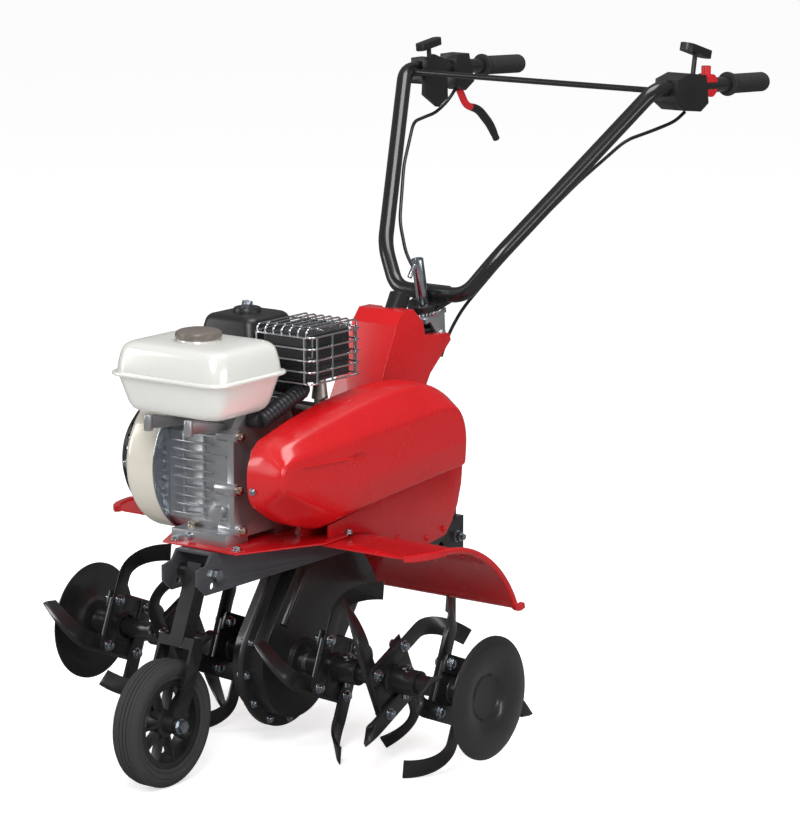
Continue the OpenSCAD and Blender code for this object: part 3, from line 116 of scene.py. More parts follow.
def feed(tree: NodeTree, node: bpy.types.Node, inputs: dict[str | int, object]) -> None:
    """Sets or links a node's inputs.

    Args:
        tree: the node tree that holds it.
        node: the node.
        inputs: for an input's name or number, its value or the socket that feeds it.
    """
    for key, value in inputs.items():
        if isinstance(value, bpy.types.NodeSocket):
            tree.links.new(value, node.inputs[key])
        else:
            node.inputs[key].default_value = value


def fed(tree: NodeTree, kind: str, inputs: dict[str | int, object],
        **settings: object) -> bpy.types.Node:
    """A new shader node, its type given without "ShaderNode" and its settings made first."""
    node = tree.nodes.new("ShaderNode" + kind)
    for key, value in settings.items():
        setattr(node, key, value)
    feed(tree, node, inputs)
    return node


def drift_group() -> NodeTree:
    """Slow variation of a colour and a roughness over the surface."""
    group = node_group(
        "surface_drift",
        [("Vector", "NodeSocketVector", 0), ("Colour", "NodeSocketColor", 0),
         ("Scale", "NodeSocketFloat", 12), ("Amount", "NodeSocketFloat", 0.06),
         ("Roughness", "NodeSocketFloat", 0.3), ("Spread", "NodeSocketFloat", 0.06)],
        [("Colour", "NodeSocketColor"), ("Roughness", "NodeSocketFloat")])
    given = group.nodes["in"].outputs
    noise = fed(group, "TexNoise",
                {"Vector": given["Vector"], "Scale": given["Scale"], "Detail": 5})
    centred = fed(group, "MapRange", {"Value": noise.outputs["Fac"], "From Min": 0.2,
                                      "From Max": 0.8, "To Min": -1}, clamp=False)
    swing = centred.outputs["Result"]
    gain = fed(group, "Math", {0: swing, 1: given["Amount"], 2: 1}, operation="MULTIPLY_ADD")
    scaled = fed(group, "VectorMath", {0: given["Colour"], "Scale": gain.outputs[0]},
                 operation="SCALE")
    rough = fed(group, "Math", {0: swing, 1: given["Spread"], 2: given["Roughness"]},
                operation="MULTIPLY_ADD")
    feed(group, group.nodes["out"], {"Colour": scaled.outputs[0], "Roughness": rough.outputs[0]})
    return group


def grain_group() -> NodeTree:
    """Fine height of a surface: soft noise mixed with rounded pebbles."""
    group = node_group(
        "surface_grain",
        [("Vector", "NodeSocketVector", 0), ("Scale", "NodeSocketFloat", 300),
         ("Pebble", "NodeSocketFloat", 0)],
        [("Height", "NodeSocketFloat")])
    given = group.nodes["in"].outputs
    place = {"Vector": given["Vector"], "Scale": given["Scale"]}
    noise = fed(group, "TexNoise", {**place, "Detail": 3})
    cells = fed(group, "TexVoronoi", place, feature="SMOOTH_F1")
    mix = fed(group, "Mix", {"Factor": given["Pebble"], "A": noise.outputs["Fac"],
                             "B": cells.outputs["Distance"]})
    feed(group, group.nodes["out"], {"Height": mix.outputs["Result"]})
    return group


DRIFT = drift_group()
GRAIN = grain_group()


@dataclass(frozen=True)
class Finish:
    """A painted, cast, plated or moulded surface."""

    name: str
    slot: str
    colour: tuple[float, float, float]
    rough: float
    metal: float = 0.0
    coat: float = 0.0
    drift: float = 0.05
    drift_scale: float = 14.0
    spread: float = 0.04
    grain: float = 0.0
    grain_scale: float = 600.0
    pebble: float = 0.0
    specular: float = 0.5

    def material(self) -> bpy.types.Material:
        """The finish as a material, made once.

        Returns:
            A material whose colour, roughness and relief vary over the surface.
        """
        found = bpy.data.materials.get(self.name)
        if found:
            return found
        made = bpy.data.materials.new(self.name)
        made.use_nodes = True
        tree = made.node_tree
        shader = tree.nodes["Principled BSDF"]
        place = fed(tree, "TexCoord", {}).outputs["Object"]
        drift = fed(tree, "Group", {
            "Vector": place, "Colour": (*self.colour, 1), "Scale": self.drift_scale,
            "Amount": self.drift, "Roughness": self.rough, "Spread": self.spread},
            node_tree=DRIFT)
        feed(tree, shader, {
            "Metallic": self.metal, "Coat Weight": self.coat, "Coat Roughness": 0.04,
            "Specular IOR Level": self.specular, "Base Color": drift.outputs["Colour"],
            "Roughness": drift.outputs["Roughness"]})
        if self.grain:
            grain = fed(tree, "Group", {"Vector": place, "Scale": self.grain_scale,
                                        "Pebble": self.pebble}, node_tree=GRAIN)
            bump = fed(tree, "Bump", {"Strength": 1, "Distance": self.grain * MM,
                                      "Height": grain.outputs["Height"]})
            feed(tree, shader, {"Normal": bump.outputs["Normal"]})
        return made


RED_PAINT = Finish("red_enamel", "red_paint", (0.5, 0.005, 0.008), 0.26, coat=0.4,
                   grain=0.015, grain_scale=260)
RED_SHELL = Finish("red_moulding", "red_plastic", (0.56, 0.006, 0.009), 0.28, coat=0.35, drift=0.04,
                   grain=0.012, grain_scale=300)
BLACK_PAINT = Finish("black_enamel", "black_paint", (0.012, 0.012, 0.013), 0.26, coat=0.4,
                     drift=0.2, grain=0.05, grain_scale=300)
TINE_PAINT = Finish("tine_enamel", "tine_paint", (0.014, 0.014, 0.015), 0.3, coat=0.3, drift=0.25,
                    grain=0.06, grain_scale=260)
GREY_PAINT = Finish("channel_enamel", "grey_paint", (0.055, 0.056, 0.064), 0.3, coat=0.3,
                    drift=0.12, grain=0.05, grain_scale=300)
CASE_PAINT = Finish("case_enamel", "case_casting", (0.014, 0.014, 0.015), 0.34, coat=0.2,
                    drift=0.25, grain=0.12, grain_scale=420, pebble=0.3)
TANK_IVORY = Finish("tank_ivory", "tank_ivory", (0.8, 0.8, 0.74), 0.4, coat=0.05, drift=0.02,
                    specular=0.3, grain=0.04, grain_scale=240)
FAN_CREAM = Finish("fan_cream", "fan_cream", (0.74, 0.69, 0.56), 0.25, coat=0.5, drift=0.03,
                   grain=0.05, grain_scale=260)
CASTING = Finish("engine_casting", "engine_casting", (0.3, 0.31, 0.33), 0.4, metal=0.85,
                 drift=0.16, drift_scale=40, spread=0.08, grain=0.35, grain_scale=900, pebble=0.5)
HEAD_CASTING = Finish("head_casting", "head_casting", (0.5, 0.51, 0.53), 0.4, metal=0.9,
                      drift=0.12, drift_scale=50, spread=0.08, grain=0.25, grain_scale=900,
                      pebble=0.5)
ZINC = Finish("zinc_plate", "zinc", (0.52, 0.57, 0.62), 0.24, metal=1.0, drift=0.14,
              drift_scale=60, spread=0.08, grain=0.03, grain_scale=1500)
YELLOW_ZINC = Finish("passivated_bolts", "zinc", (0.66, 0.58, 0.5), 0.24, metal=1.0, drift=0.2,
                     drift_scale=70, spread=0.08)
SHAFT = Finish("shaft_steel", "shaft_steel", (0.16, 0.16, 0.17), 0.35, metal=0.9, drift=0.2,
               drift_scale=50, spread=0.1)
EXHAUST = Finish("exhaust_steel", "exhaust_steel", (0.27, 0.22, 0.18), 0.36, metal=1.0, drift=0.3,
                 drift_scale=30, spread=0.1)
CHROME = Finish("guard_wire", "guard_wire", (0.72, 0.74, 0.78), 0.14, metal=1.0, drift=0.08,
                drift_scale=80, spread=0.05)
PLASTIC = Finish("black_moulding", "black_plastic", (0.014, 0.014, 0.015), 0.38, drift=0.2,
                 spread=0.06, grain=0.12, grain_scale=1200)
RED_KNOB = Finish("red_knob", "red_plastic", (0.62, 0.012, 0.02), 0.28, grain=0.04)
CAP_BROWN = Finish("cap_moulding", "cap_plastic", (0.15, 0.125, 0.11), 0.34, drift=0.12,
                   grain=0.15, grain_scale=1200)
HOSE = Finish("hose_rubber", "hose_rubber", (0.012, 0.012, 0.013), 0.4, drift=0.2, grain=0.1,
              grain_scale=900)
GRIP = Finish("grip_rubber", "grip_rubber", (0.012, 0.012, 0.012), 0.5, drift=0.2, grain=0.2,
              grain_scale=1100)
CABLE = Finish("cable_sheath", "cable_black", (0.012, 0.012, 0.012), 0.35, drift=0.2,
               grain=0.05, grain_scale=1500)
TYRE = Finish("tyre_rubber", "tyre_rubber", (0.028, 0.028, 0.029), 0.6, drift=0.18,
              drift_scale=30, spread=0.08, grain=0.2, grain_scale=800)


# ---- hand work ------------------------------------------------------------


def spot(x: float, y: float, z: float) -> Vector:
    """Point of the frame from millimetres: X from the tine axle, Y and Z as they are."""
    return Vector((AXLE.x + x * MM, y * MM, z * MM))


def activate(obj: Object) -> None:
    """Makes obj the only selected and the active object."""
    bpy.ops.object.select_all(action="DESELECT")
    obj.select_set(True)
    bpy.context.view_layer.objects.active = obj


def settle(obj: Object) -> Object:
    """Moves obj's place into its mesh, so that it stands at the origin."""
    activate(obj)
    bpy.ops.object.transform_apply(location=True, rotation=True, scale=True)
    return obj


def in_edit(obj: Object, work: Callable[[], None]) -> Object:
    """Runs edit-mode operators on obj, with everything in it selected."""
    activate(obj)
    bpy.ops.object.mode_set(mode="EDIT")
    bpy.ops.mesh.select_mode(type="VERT")
    bpy.ops.mesh.select_all(action="SELECT")
    work()
    bpy.ops.object.mode_set(mode="OBJECT")
    return obj


def smooth(obj: Object, degrees: float = 35) -> Object:
    """Shades obj smooth across all edges flatter than an angle."""
    activate(obj)
    bpy.ops.object.shade_smooth_by_angle(angle=math.radians(degrees))
    return obj


def modify(obj: Object, kind: str, **values: object) -> Object:
    """Adds a modifier with these settings and applies it."""
    activate(obj)
    mod = obj.modifiers.new(kind.lower(), kind)
    for key, value in values.items():
        setattr(mod, key, value)
    bpy.ops.object.modifier_apply(modifier=mod.name)
    return obj


def eased(obj: Object, width: float, segments: int = 3, degrees: float = 30) -> Object:
    """Rounds the edges of obj that are sharper than an angle.

    Args:
        obj: the piece.
        width: width of the rounding in millimetres.
        segments: faces across each rounding.
        degrees: edges flatter than this stay as they are.

    Returns:
        The same piece, shaded smooth.
    """
    modify(obj, "BEVEL", width=width * MM, segments=segments, limit_method="ANGLE",
           angle_limit=math.radians(degrees), use_clamp_overlap=True)
    return smooth(obj, max(degrees, 35))


def linked(name: str, data: bpy.types.ID) -> Object:
    """A new object of the scene that holds this data."""
    obj = bpy.data.objects.new(name, data)
    bpy.context.scene.collection.objects.link(obj)
    return obj


def from_points(name: str, points: Sequence[Point], faces: Sequence[Sequence[int]],
                edges: Sequence[tuple[int, int]] = ()) -> Object:
    """A mesh object from points in metres, faces and loose edges."""
    mesh = bpy.data.meshes.new(name)
    mesh.from_pydata([tuple(p) for p in points], edges, faces)
    mesh.validate()
    return linked(name, mesh)


def walls(n: int, rings: int) -> list[tuple[int, ...]]:
    """Faces between neighbouring rings of n points each."""
    return [(i * n + k, i * n + (k + 1) % n, (i + 1) * n + (k + 1) % n, (i + 1) * n + k)
            for i in range(rings - 1) for k in range(n)]


def lofted(name: str, rings: Sequence[Sequence[Vector]]) -> Object:
    """A closed skin through rings of like count, capped at both ends."""
    n = len(rings[0])
    last = len(rings) * n - 1
    faces = [*walls(n, len(rings)), tuple(range(n)), tuple(range(last, last - n, -1))]
    return face_outward(from_points(name, [p for ring in rings for p in ring], faces))


def face_outward(obj: Object) -> Object:
    """Merges doubled points of obj and turns its faces outward."""

    def work() -> None:
        """Merge and recalculate."""
        bpy.ops.mesh.remove_doubles(threshold=DOUBLES)
        bpy.ops.mesh.normals_make_consistent(inside=False)

    return in_edit(obj, work)


def node_copy(node: str, name: str) -> Object:
    """A merged copy of a CAD node with its flat facets joined.

    Args:
        node: the CAD node.
        name: the copy's name.

    Returns:
        The copy, at the origin.
    """
    obj = linked(name, frame["nodes"][node].data.copy())
    obj.data.name = name
    obj.data.materials.clear()

    def work() -> None:
        """Merge the loose triangles and dissolve flat joints."""
        bpy.ops.mesh.customdata_custom_splitnormals_clear()
        bpy.ops.mesh.remove_doubles(threshold=CAD_DOUBLES)
        bpy.ops.mesh.dissolve_limited(angle_limit=math.radians(FLAT_DEGREES))

    return in_edit(obj, work)


def joined(name: str, pieces: Sequence[Object]) -> Object:
    """One object made of several, under a new name."""
    bpy.ops.object.select_all(action="DESELECT")
    for piece in pieces:
        piece.select_set(True)
    bpy.context.view_layer.objects.active = pieces[0]
    if len(pieces) > 1:
        bpy.ops.object.join()
    pieces[0].name = name
    pieces[0].data.name = name
    return pieces[0]


def block(name: str, low: Vector, high: Vector, edge: float = 1.0, segments: int = 3) -> Object:
    """A box between two corners with rounded edges, edge in millimetres."""
    bpy.ops.mesh.primitive_cube_add(size=1, location=(low + high) / 2)
    obj = bpy.context.object
    obj.name = name
    obj.scale = [abs(v) for v in high - low]
    settle(obj)
    return eased(obj, edge, segments) if edge else obj


def rod(name: str, start: Vector, end: Vector, radius: float, sides: int = 32,
        edge: float = 0.5) -> Object:
    """A round bar between two points.

    Args:
        name: the piece's name.
        start: centre of one end.
        end: centre of the other end.
        radius: in millimetres.
        sides: faces round it; 6 makes a hexagon.
        edge: rounding of its rims in millimetres.

    Returns:
        The bar.
    """
    along = end - start
    bpy.ops.mesh.primitive_cylinder_add(vertices=sides, radius=radius * MM, depth=along.length,
                                        location=(start + end) / 2)
    obj = bpy.context.object
    obj.name = name
    obj.rotation_mode = "QUATERNION"
    obj.rotation_quaternion = along.to_track_quat("Z", "Y")
    settle(obj)
    return eased(obj, edge, 2, 50) if edge else smooth(obj)


def turned(name: str, profile: Sequence[tuple[float, float]], centre: Vector, axis: Vector,
           steps: int = 64, degrees: float = 30) -> Object:
    """A closed profile turned about an axis.

    Args:
        name: the piece's name.
        profile: closed outline as (radius, distance along the axis), in millimetres.
        centre: the point of the axis where that distance is 0.
        axis: direction of the axis.
        steps: faces round the turn.
        degrees: edges flatter than this are shaded smooth.

    Returns:
        The turned piece.
    """
    count = len(profile)
    side = axis.orthogonal().normalized()
    points = [centre + side * (r * MM) + axis.normalized() * (h * MM) for r, h in profile]
    obj = from_points(name, points, (), [(i, (i + 1) % count) for i in range(count)])
    in_edit(obj, lambda: bpy.ops.mesh.spin(steps=steps, angle=math.tau, center=centre,
                                           axis=axis))
    face_outward(obj)
    return smooth(obj, degrees)


def swept(name: str, path: Sequence[Vector], radius: Callable[[float], float], sides: int = 20,
          degrees: float = 50) -> Object:
    """A round cord along a path.

    Args:
        name: the piece's name.
        path: points of its middle line.
        radius: radius in millimetres at a share of the path's length.
        sides: faces round it.
        degrees: edges flatter than this are shaded smooth.

    Returns:
        The closed tube.
    """
    count = len(path)
    run = [0.0, *accumulate((b - a).length for a, b in zip(path, path[1:]))]
    across = (path[1] - path[0]).orthogonal().normalized()
    points: list[Vector] = []
    for i, p in enumerate(path):
        ahead = (path[min(i + 1, count - 1)] - path[max(i - 1, 0)]).normalized()
        across = (across - ahead * across.dot(ahead)).normalized()
        other = ahead.cross(across)
        r = radius(run[i] / run[-1]) * MM
        points += [p + r * (across * math.cos(math.tau * k / sides)
                            + other * math.sin(math.tau * k / sides)) for k in range(sides)]
    faces = [*walls(sides, count), tuple(range(sides - 1, -1, -1)),
             tuple(range((count - 1) * sides, count * sides))]
    return smooth(from_points(name, points, faces), degrees)


def turn_round(before: Vector, corner: Vector, after: Vector, reach: float, share: float,
               steps: int) -> list[Vector]:
    """A curve in place of a corner.

    Args:
        before: the point before the corner.
        corner: the corner.
        after: the point after it.
        reach: how far from the corner the curve starts and ends, in millimetres.
        share: each leg's length over this is the most that the curve takes of it.
        steps: parts of the curve.

    Returns:
        Its points.
    """
    back, on = before - corner, after - corner
    a = corner + back.normalized() * min(reach * MM, back.length / share)
    b = corner + on.normalized() * min(reach * MM, on.length / share)
    return [(1 - t) ** 2 * a + 2 * t * (1 - t) * corner + t * t * b
            for t in (s / steps for s in range(steps + 1))]


def curved(points: Sequence[Vector], reach: float, steps: int = 8) -> list[Vector]:
    """A polyline with each corner eased by a curve of that reach in millimetres."""
    out = [points[0]]
    for before, corner, after in zip(points, points[1:], points[2:]):
        out += turn_round(before, corner, after, reach, 2.02, steps)
    return out + [points[-1]]


def rounded_ring(middle: Vector, long: float, wide: float, corner: float,
                 steps: int) -> list[Vector]:
    """A level rectangle with round corners.

    Args:
        middle: its middle.
        long: half its length along X in millimetres.
        wide: half its width along Y in millimetres.
        corner: radius of its corners in millimetres.
        steps: parts of each corner.

    Returns:
        Its points.
    """
    points = []
    for quarter, (sx, sy) in enumerate(((1, 1), (-1, 1), (-1, -1), (1, -1))):
        for k in range(steps + 1):
            a = math.radians(90 * (quarter + k / steps))
            points.append(middle + Vector((sx * (long - corner) + corner * math.cos(a),
                                           sy * (wide - corner) + corner * math.sin(a), 0)) * MM)
    return points


def divided(points: Sequence[Vector], pitch: float) -> list[Vector]:
    """The same line with a point about every pitch millimetres."""
    out = [points[0]]
    for a, b in zip(points, points[1:]):
        parts = max(1, round((b - a).length / (pitch * MM)))
        out += [a.lerp(b, (k + 1) / parts) for k in range(parts)]
    return out


def bolt(name: str, seat: Vector, out: Vector, across: float, height: float) -> Object:
    """A hexagon head with its flange.

    Args:
        name: the piece's name.
        seat: centre of the face that it bears on.
        out: direction that the head stands out in.
        across: width across corners in millimetres.
        height: height of the head in millimetres.

    Returns:
        The joined head.
    """
    step = out.normalized() * MM
    return joined(name, [
        rod(name, seat, seat + step * FLANGE_T, across * FLANGE_SHARE, 28, 0.4),
        rod(name, seat + step * FLANGE_T, seat + step * height, across / 2, 6, 0.7),
        rod(name, seat + step * (height - 0.3), seat + step * (height + 0.6),
            across * STUB_SHARE, 20, 0.2)])


@dataclass
class SubAssembly:
    """One sub-assembly: its pieces, each with the body that it rides on."""

    body: str = "chassis"
    pieces: list[Object] = field(default_factory=list)

    def add(self, obj: Object, finish: Finish, *nodes: str, body: str = "") -> Object:
        """Dresses a new piece and hangs it on its body.

        Args:
            obj: the piece.
            finish: its finish.
            nodes: the CAD nodes that it stands for.
            body: the body that it rides on, if not the sub-assembly's own.

        Returns:
            The piece.
        """
        obj.data.materials.clear()
        obj.data.materials.append(finish.material())
        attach(obj, body or self.body)
        if nodes:
            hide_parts(*nodes)
        self.pieces.append(obj)
        log.info("%s: %s, %d faces", type(self).__name__, obj.name, len(obj.data.polygons))
        return obj

    def paint(self, finish: Finish, *nodes: str) -> None:
        """Gives CAD nodes that keep their own shape a finish."""
        for node in nodes:
            obj = frame["nodes"][node]
            if not obj.material_slots:
                obj.data.materials.append(None)
            for holder in obj.material_slots:
                holder.material = finish.material()
            log.info("%s: %s keeps its shape", type(self).__name__, node)

    def soften(self, node: str, finish: Finish, width: float, segments: int = 3,
               degrees: float = 30) -> Object:
        """Replaces a CAD node by its own shape with rounded edges.

        Args:
            node: the CAD node.
            finish: its finish.
            width: width of the rounding in millimetres.
            segments: faces across each rounding.
            degrees: edges flatter than this stay as they are.

        Returns:
            The new piece.
        """
        obj = eased(node_copy(node, node + "_skin"), width, segments, degrees)
        return self.add(obj, finish, node, body=BODY_OF[node])

    def bolts(self, name: str, seats: Iterable[Vector], out: Vector, across: float,
              height: float, finish: Finish = ZINC) -> Object:
        """A set of like bolt heads as one piece."""
        made = [bolt(name, seat, out, across, height) for seat in seats]
        return self.add(joined(name, made), finish)


# ---- deck, fenders and frame ----------------------------------------------


@dataclass
class Deck(SubAssembly):
    """Red deck with its fenders, the channel below and the hitch behind."""

    bolt_spots: Pairs = ((-2, 127), (188, 60))

    def build(self) -> None:
        """Makes and dresses the sheet metal."""
        self.soften("deck_plate", RED_PAINT, 1.2)
        for node in ("fender_left", "fender_right"):
            self.soften(node, RED_PAINT, 1.0)
        self.soften("front_channel", GREY_PAINT, 1.2)
        self.soften("rear_hitch", BLACK_PAINT, 0.8)
        self.soften("depth_bar", BLACK_PAINT, 1.0)
        self.paint(ZINC, "hitch_bolt", "arm_bolts")
        self.dress()

    def dress(self) -> None:
        """Bolts that hold the fenders to the deck."""
        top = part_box("deck_plate")[1].z / MM
        for side in Side:
            self.bolts(f"deck_bolts_{side.tag}",
                       [spot(x, side.value * y, top) for x, y in self.bolt_spots],
                       UP, 12, 6)


# ---- chain case and rotor --------------------------------------------------


@dataclass
class ChainCase(SubAssembly):
    """Pressed chain case between the tines, with its ring of flange bolts."""

    flange_r: float = 99.0
    flange_half: float = 5.0
    ring: int = 12
    first_turn: float = -214.0
    lowest: float = 24.0
    highest: float = 214.0

    def build(self) -> None:
        """Makes the case and its bolts."""
        self.soften("gear_case", CASE_PAINT, 2.0, 3, 25)
        self.dress()

    def dress(self) -> None:
        """Bolts round the lower flange, on both sides."""
        for side in Side:
            seats = []
            for k in range(self.ring):
                turn = math.radians(self.first_turn + 360 * k / self.ring)
                x, z = self.flange_r * math.cos(turn), AXLE_Z + self.flange_r * math.sin(turn)
                if self.lowest < z < self.highest:
                    seats.append(spot(x, side.value * self.flange_half, z))
            self.bolts(f"case_bolts_{side.tag}", seats, LEFT * side.value, 11, 6)


@dataclass(frozen=True)
class Hub:
    """One hub section of the rotor, with lengths in millimetres and angles in degrees."""

    name: str
    plate_y: float
    phase: float
    curl_side: int
    inward: float
    shaft_from: float = 0.0


@dataclass
class TineRotor(SubAssembly):
    """Six hub sections with sickle tines, their shaft, pins and end discs."""

    body: str = "rotor"
    bolt_half: float = 37.5
    plate_half: float = 48.0
    plate_t: float = 6.0
    tine_w: float = 28.0
    tine_t: float = 5.0
    shank: float = 72.0
    sickle_r: float = 62.0
    sickle_turn: float = 75.0
    curl: float = 48.0
    curl_from: float = 8.0
    curl_end: float = 0.86 * 90
    tube_r: float = 20.5
    bore_r: float = 15.3
    shaft_r: float = 15.0
    steps: int = 30
    cut_corner: float = 9.0
    tube_out: float = 52.0
    hubs: tuple[Hub, ...] = (Hub("inner", 100, 67, 1, 42), Hub("middle", 213, 20, -1, 3, 106),
                             Hub("outer", 328, 67, -1, 3, 222))

    def curl_at(self, turn: float) -> float:
        """How far the strip has swung sideways at an angle of its sickle."""
        if turn < self.curl_from:
            return 0.0
        bend = self.curl_end * (turn - self.curl_from) / (self.sickle_turn - self.curl_from)
        return (self.curl * (1 - math.cos(math.radians(bend)))
                / (1 - math.cos(math.radians(self.curl_end))))

    def sickle(self) -> list[tuple[Vector, Vector]]:
        """Middle line of a tine and the direction across it, in the plate's frame."""
        line = [(Vector((self.bolt_half, -self.plate_half, 0)), Vector((1, 0, 0)))]
        for i in range(self.steps + 1):
            turn = self.sickle_turn * i / self.steps
            a = math.radians(turn)
            line.append((Vector((self.bolt_half - self.sickle_r + self.sickle_r * math.cos(a),
                                 self.shank + self.sickle_r * math.sin(a), self.curl_at(turn))),
                         Vector((math.cos(a), math.sin(a), 0))))
        return line

    def tine(self, name: str, lay: Callable[[Vector], Vector], curl_sign: int) -> Object:
        """One sickle tine: flat strip with a ground edge and a square tip.

        Args:
            name: the piece's name.
            lay: takes a point of the plate's frame, in millimetres, to the machine's.
            curl_sign: 1 to curl along the plate's normal, -1 against it.

        Returns:
            The strip.
        """
        half = self.tine_w / 2
        section = [(-half, -self.tine_t / 2), (half - self.tine_t, -self.tine_t / 2),
                   (half, self.tine_t * 0.2), (half, self.tine_t / 2), (-half, self.tine_t / 2)]
        line = self.sickle()
        mids = [Vector((p.x, p.y, curl_sign * p.z)) for p, _ in line]
        rings = []
        for i, (_, across) in enumerate(line):
            ahead = (mids[min(i + 1, len(mids) - 1)] - mids[max(i - 1, 0)]).normalized()
            # The shank stays straight
            if i < 2:
                ahead = Vector((0, 1, 0))
            up = across.cross(ahead).normalized() * curl_sign
            rings.append([lay(mids[i] + across * u + up * v) for u, v in section])
        return eased(lofted(name, rings), 0.5, 2, 28)

    def section(self, hub: Hub, side: Side) -> None:
        """Plate, tube, four tines and bolts of one hub section.

        Args:
            hub: its place and phase; its curl_side is 1 where the first and third tines
                curl outward, and its shaft_from is 0 where it has no shaft of its own.
            side: the side of the machine.
        """
        y = side.value
        node = f"tines_{side.tag}_{hub.name}"

        def layer(offset: float, turn: float) -> Callable[[Vector], Vector]:
            """Takes the plate's frame, turned, at an offset from the plate, to the machine's."""
            a = math.radians(turn)

            def lay(p: Vector) -> Vector:
                """One point."""
                x = p.x * math.cos(a) - p.y * math.sin(a)
                z = p.x * math.sin(a) + p.y * math.cos(a)
                return spot(x, y * (hub.plate_y + offset + p.z), AXLE_Z + z)

            return lay

        parts = []
        for k in range(4):
            out = (1 if k % 2 == 0 else -1) * hub.curl_side
            lay = layer(out * (self.plate_t + self.tine_t) / 2, hub.phase - 45 + 90 * k)
            parts.append(self.tine(node, lay, out))
        h, c = self.plate_half, self.plate_half - self.cut_corner
        square = [(c, -h), (h, -c), (h, c), (c, h), (-c, h), (-h, c), (-h, -c), (-c, -h)]
        lay = layer(0, hub.phase - 45)
        rings = [[lay(Vector((u, v, w))) for u, v in square]
                 for w in (-self.plate_t / 2, self.plate_t / 2)]
        parts.append(eased(lofted(node, rings), 0.8, 2))
        along, middle = LEFT * y, spot(0, y * hub.plate_y, AXLE_Z)
        tube = [(self.bore_r, -hub.inward), (self.tube_r - 1, -hub.inward),
                (self.tube_r, 1 - hub.inward), (self.tube_r, self.tube_out - 1),
                (self.tube_r - 1, self.tube_out), (self.bore_r, self.tube_out)]
        parts.append(turned(node, tube, middle, along, 48))
        # Weld bead between the tube and the plate
        for out in (-1, 1):
            foot = out * self.plate_t / 2
            parts.append(turned(node, [(self.tube_r - 1, foot), (self.tube_r + 4, foot),
                                       (self.tube_r + 2.6, foot + out * 2.6),
                                       (self.tube_r - 1, foot + out * 4)], middle, along, 48, 60))
        if hub.shaft_from:
            parts.append(rod(node, spot(0, y * hub.shaft_from, AXLE_Z), middle, self.shaft_r, 40))
        self.add(joined(f"{node}_set", parts), TINE_PAINT, node)
        heads = []
        for u, v, out in product((-1, 1), repeat=3):
            foot = out * (self.plate_t / 2 + self.tine_t)
            place = lay(Vector((u * self.bolt_half, v * self.bolt_half, foot)))
            heads.append(bolt(node, place, along * out, 15, 7 if out > 0 else 8))
        self.add(joined(f"{node}_bolts", heads), ZINC)

    def build(self) -> None:
        """Makes the six hub sections and dresses shaft, discs and pins."""
        for side in Side:
            for hub in self.hubs:
                self.section(hub, side)
        self.paint(SHAFT, "rotor_shaft")
        self.soften("end_discs", TINE_PAINT, 0.8, 2, 40)
        self.paint(ZINC, "lock_pins")


# ---- transport wheel -------------------------------------------------------


@dataclass
class TransportWheel(SubAssembly):
    """Ribbed tyre on a spoked rim, on an arm that folds up."""

    body: str = "front_wheel"
    radius: float = 97.5
    half: float = 23.0
    bead_r: float = 67.0
    rib_edges: tuple[float, ...] = (12, 5.5, -1.5, -8)
    wall_steps: Pairs = (
        (0, 8), (2, 4), (6, 2.5), (7, 3.4), (9, 3.2), (10, 1.6), (15, 0.4), (16, 1.4),
        (17.4, 0.4))

    def tyre(self) -> Object:
        """Tyre with circular ribs on its tread and steps on its walls."""
        r, w = self.radius, self.half
        crown = [(r - 9, w - 1.5), (r - 5, w - 4), (r - 2.4, w - 7)]
        for edge in self.rib_edges:
            crown += [(r - 1.2 + 0.1 * (12 - abs(edge)), edge + 4.2), (r - 0.2, edge + 2.6),
                      (r - 0.2, edge - 0.4), (r - 3.2, edge - 1.0), (r - 3.2, edge - 1.8)]
        crown += [(r - 2.4, 7 - w), (r - 5, 4 - w), (r - 9, 1.5 - w)]
        left = [(self.bead_r + out, w - inward) for out, inward in self.wall_steps]
        right = [(out, -along) for out, along in reversed(left)]
        return turned("tyre_ribbed", left + crown + right, JOINT_POS["front_wheel_spin"], LEFT,
                      60, 40)

    def build(self) -> None:
        """Makes the wheel and its arm."""
        self.add(self.tyre(), TYRE, "tyre")
        self.soften("wheel_rim", PLASTIC, 1.2, 2)
        self.soften("wheel_arm", BLACK_PAINT, 1.2)
        self.paint(ZINC, "wheel_bolt")


# ---- engine ----------------------------------------------------------------


